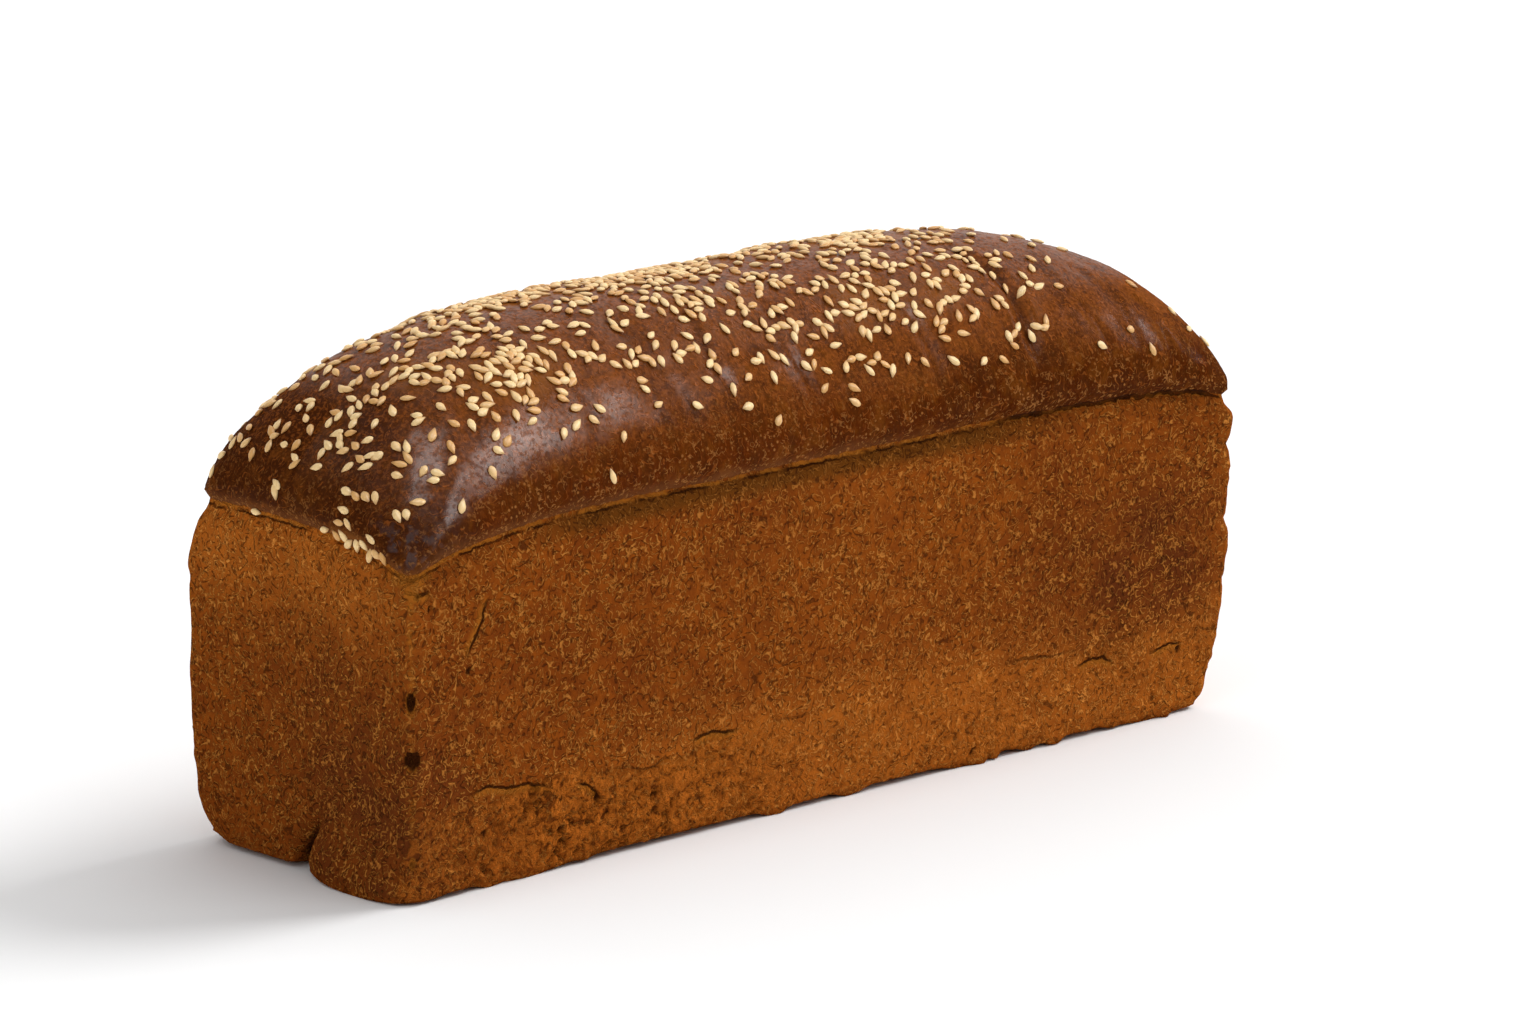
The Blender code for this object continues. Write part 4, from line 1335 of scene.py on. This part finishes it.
class LoafStage(bpy.types.PropertyGroup):
    """Light on the table."""

    low_sky: FloatProperty(name="Low room light", description="Even light from the sides", default=0.15)
    high_sky: FloatProperty(name="High room light", description="Even light from overhead", default=0.58)
    backdrop: FloatProperty(
        name="Backdrop", description="Light off the backdrop behind the loaf", default=0.95
    )
    key: FloatProperty(
        name="Key light", description="Strength of the soft light from the right", default=2.15
    )
    key_spread: FloatProperty(
        name="Key spread", description="How wide the key light is", default=math.radians(30),
        subtype="ANGLE",
    )
    front: FloatProperty(
        name="Front light", description="Strength of the soft light in front", default=0.48
    )
    left: FloatProperty(name="Left light", description="Strength of the fill from the left", default=0.55)
    gloss: FloatProperty(
        name="Gloss", description="Power of the soft boxes that shine on the crown", default=6.0
    )


def add_room(stage):
    """Room light: dim at the sides, brighter overhead and where the backdrop stands."""
    world = bpy.data.worlds.new("room")
    world.use_nodes = True
    n = Nodes(world.node_tree)
    background = world.node_tree.nodes["Background"]
    way = n.add("ShaderNodeTexCoord").outputs["Generated"]
    up = n.add("ShaderNodeSeparateXYZ", {0: way}).outputs["Z"]
    strength = n.ramp(up, 0.05, 0.90, stage.low_sky, stage.high_sky)
    facing = n.add("ShaderNodeVectorMath", {0: way, 1: BACKDROP_WAY}, operation="DOT_PRODUCT")
    behind = facing.outputs["Value"]
    strength = n.plus(strength, n.ramp(behind, 0.45, 0.85, 0.0, stage.backdrop))
    background.inputs["Color"].default_value = (1.0, 1.0, 1.0, 1.0)
    n.put(background.inputs["Strength"], strength)
    bpy.context.scene.world = world


def aimed(place, target):
    """A turn that looks from place to target."""
    return (Vector(target) - Vector(place)).to_track_quat("-Z", "Y").to_euler()


def add_camera():
    """The camera, at three-quarters from the left and a little above."""
    turn, tilt = math.radians(CAMERA_TURN), math.radians(CAMERA_TILT)
    back = Vector((math.sin(turn) * math.cos(tilt), -math.cos(turn) * math.cos(tilt), math.sin(tilt)))
    lens = bpy.data.cameras.new("camera")
    lens.sensor_fit = "HORIZONTAL"
    lens.sensor_width = 36.0
    lens.lens = CAMERA_LENS
    lens.clip_end = 20.0
    camera = bpy.data.objects.new("camera", lens)
    bpy.context.scene.collection.objects.link(camera)
    camera.location = CAMERA_PLACE
    camera.rotation_euler = (-back).to_track_quat("-Z", "Y").to_euler()
    bpy.context.scene.camera = camera


def add_light(name, kind, place, power, **settings):
    """A light that looks at the loaf."""
    data = bpy.data.lights.new(name, kind)
    data.energy = power
    for key, value in settings.items():
        setattr(data, key, value)
    light = bpy.data.objects.new(name, data)
    bpy.context.scene.collection.objects.link(light)
    light.location = place
    light.rotation_euler = aimed(place, (0, 0, 0.08))
    return light


def add_gloss(name, place, target, power, wide, high):
    """A soft box that only gives the crown its sheen."""
    box = add_light(name, "AREA", place, power, shape="RECTANGLE", size=wide, size_y=high)
    box.rotation_euler = aimed(place, target)
    box.visible_diffuse = False


class LOAF_OT_stage(bpy.types.Operator):
    """Sets the table, the lights and the camera"""

    bl_idname = "loaf.stage"
    bl_label = "Set table and light"

    def execute(self, context):
        scene = context.scene
        stage = scene.loaf_stage
        bm = bmesh.new()
        bmesh.ops.create_grid(bm, x_segments=2, y_segments=2, size=6.0)
        mesh = bpy.data.meshes.new("table")
        bm.to_mesh(mesh)
        bm.free()
        mesh.materials.append(table_material(scene.loaf_colours))
        new_object("table", mesh)
        add_room(stage)
        suns = (
            ("key", (1.00, -0.20, 0.95), stage.key, stage.key_spread),
            ("front", (0.33, -0.73, 0.63), stage.front, math.radians(50)),
            ("left", (-0.95, -0.15, 0.35), stage.left, math.radians(60)),
        )
        for name, place, power, spread in suns:
            add_light(name, "SUN", place, power, angle=spread).visible_glossy = False
        for name, place, target, share, wide in GLOSS_BOXES:
            add_gloss(name, place, target, share * stage.gloss, wide, GLOSS_BOX_HEIGHT)
        scene.view_settings.view_transform = "Standard"
        add_camera()
        return {"FINISHED"}


# ---------------------------------------------------------------- panel and main


class LOAF_PT_panel(bpy.types.Panel):
    """The loaf's sizes, colours and steps"""

    bl_idname = "LOAF_PT_panel"
    bl_label = "Loaf"
    bl_space_type = "VIEW_3D"
    bl_region_type = "UI"
    bl_category = "Loaf"

    def draw(self, context):
        for group in GROUPS:
            box = self.layout.box()
            owner = getattr(context.scene, group)
            for name in owner.__annotations__:
                box.prop(owner, name)
        for step in (LOAF_OT_crust, LOAF_OT_seeds, LOAF_OT_stage):
            self.layout.operator(step.bl_idname)


GROUPS = {
    "loaf_sizes": LoafSizes,
    "loaf_seeds": SeedSizes,
    "loaf_colours": LoafColours,
    "loaf_stage": LoafStage,
}
CLASSES = (*GROUPS.values(), LOAF_OT_crust, LOAF_OT_seeds, LOAF_OT_stage, LOAF_PT_panel)


def register():
    """Adds the classes and the scene's settings."""
    for each in CLASSES:
        bpy.utils.register_class(each)
    for name, group in GROUPS.items():
        setattr(bpy.types.Scene, name, PointerProperty(type=group))


def unregister():
    """Removes them again."""
    for name in GROUPS:
        delattr(bpy.types.Scene, name)
    for each in reversed(CLASSES):
        bpy.utils.unregister_class(each)


def main():
    """Makes every piece in order."""
    register()
    bpy.ops.loaf.stage()
    bpy.ops.loaf.crust()
    bpy.ops.loaf.seeds()


if __name__ == "__main__":
    main()
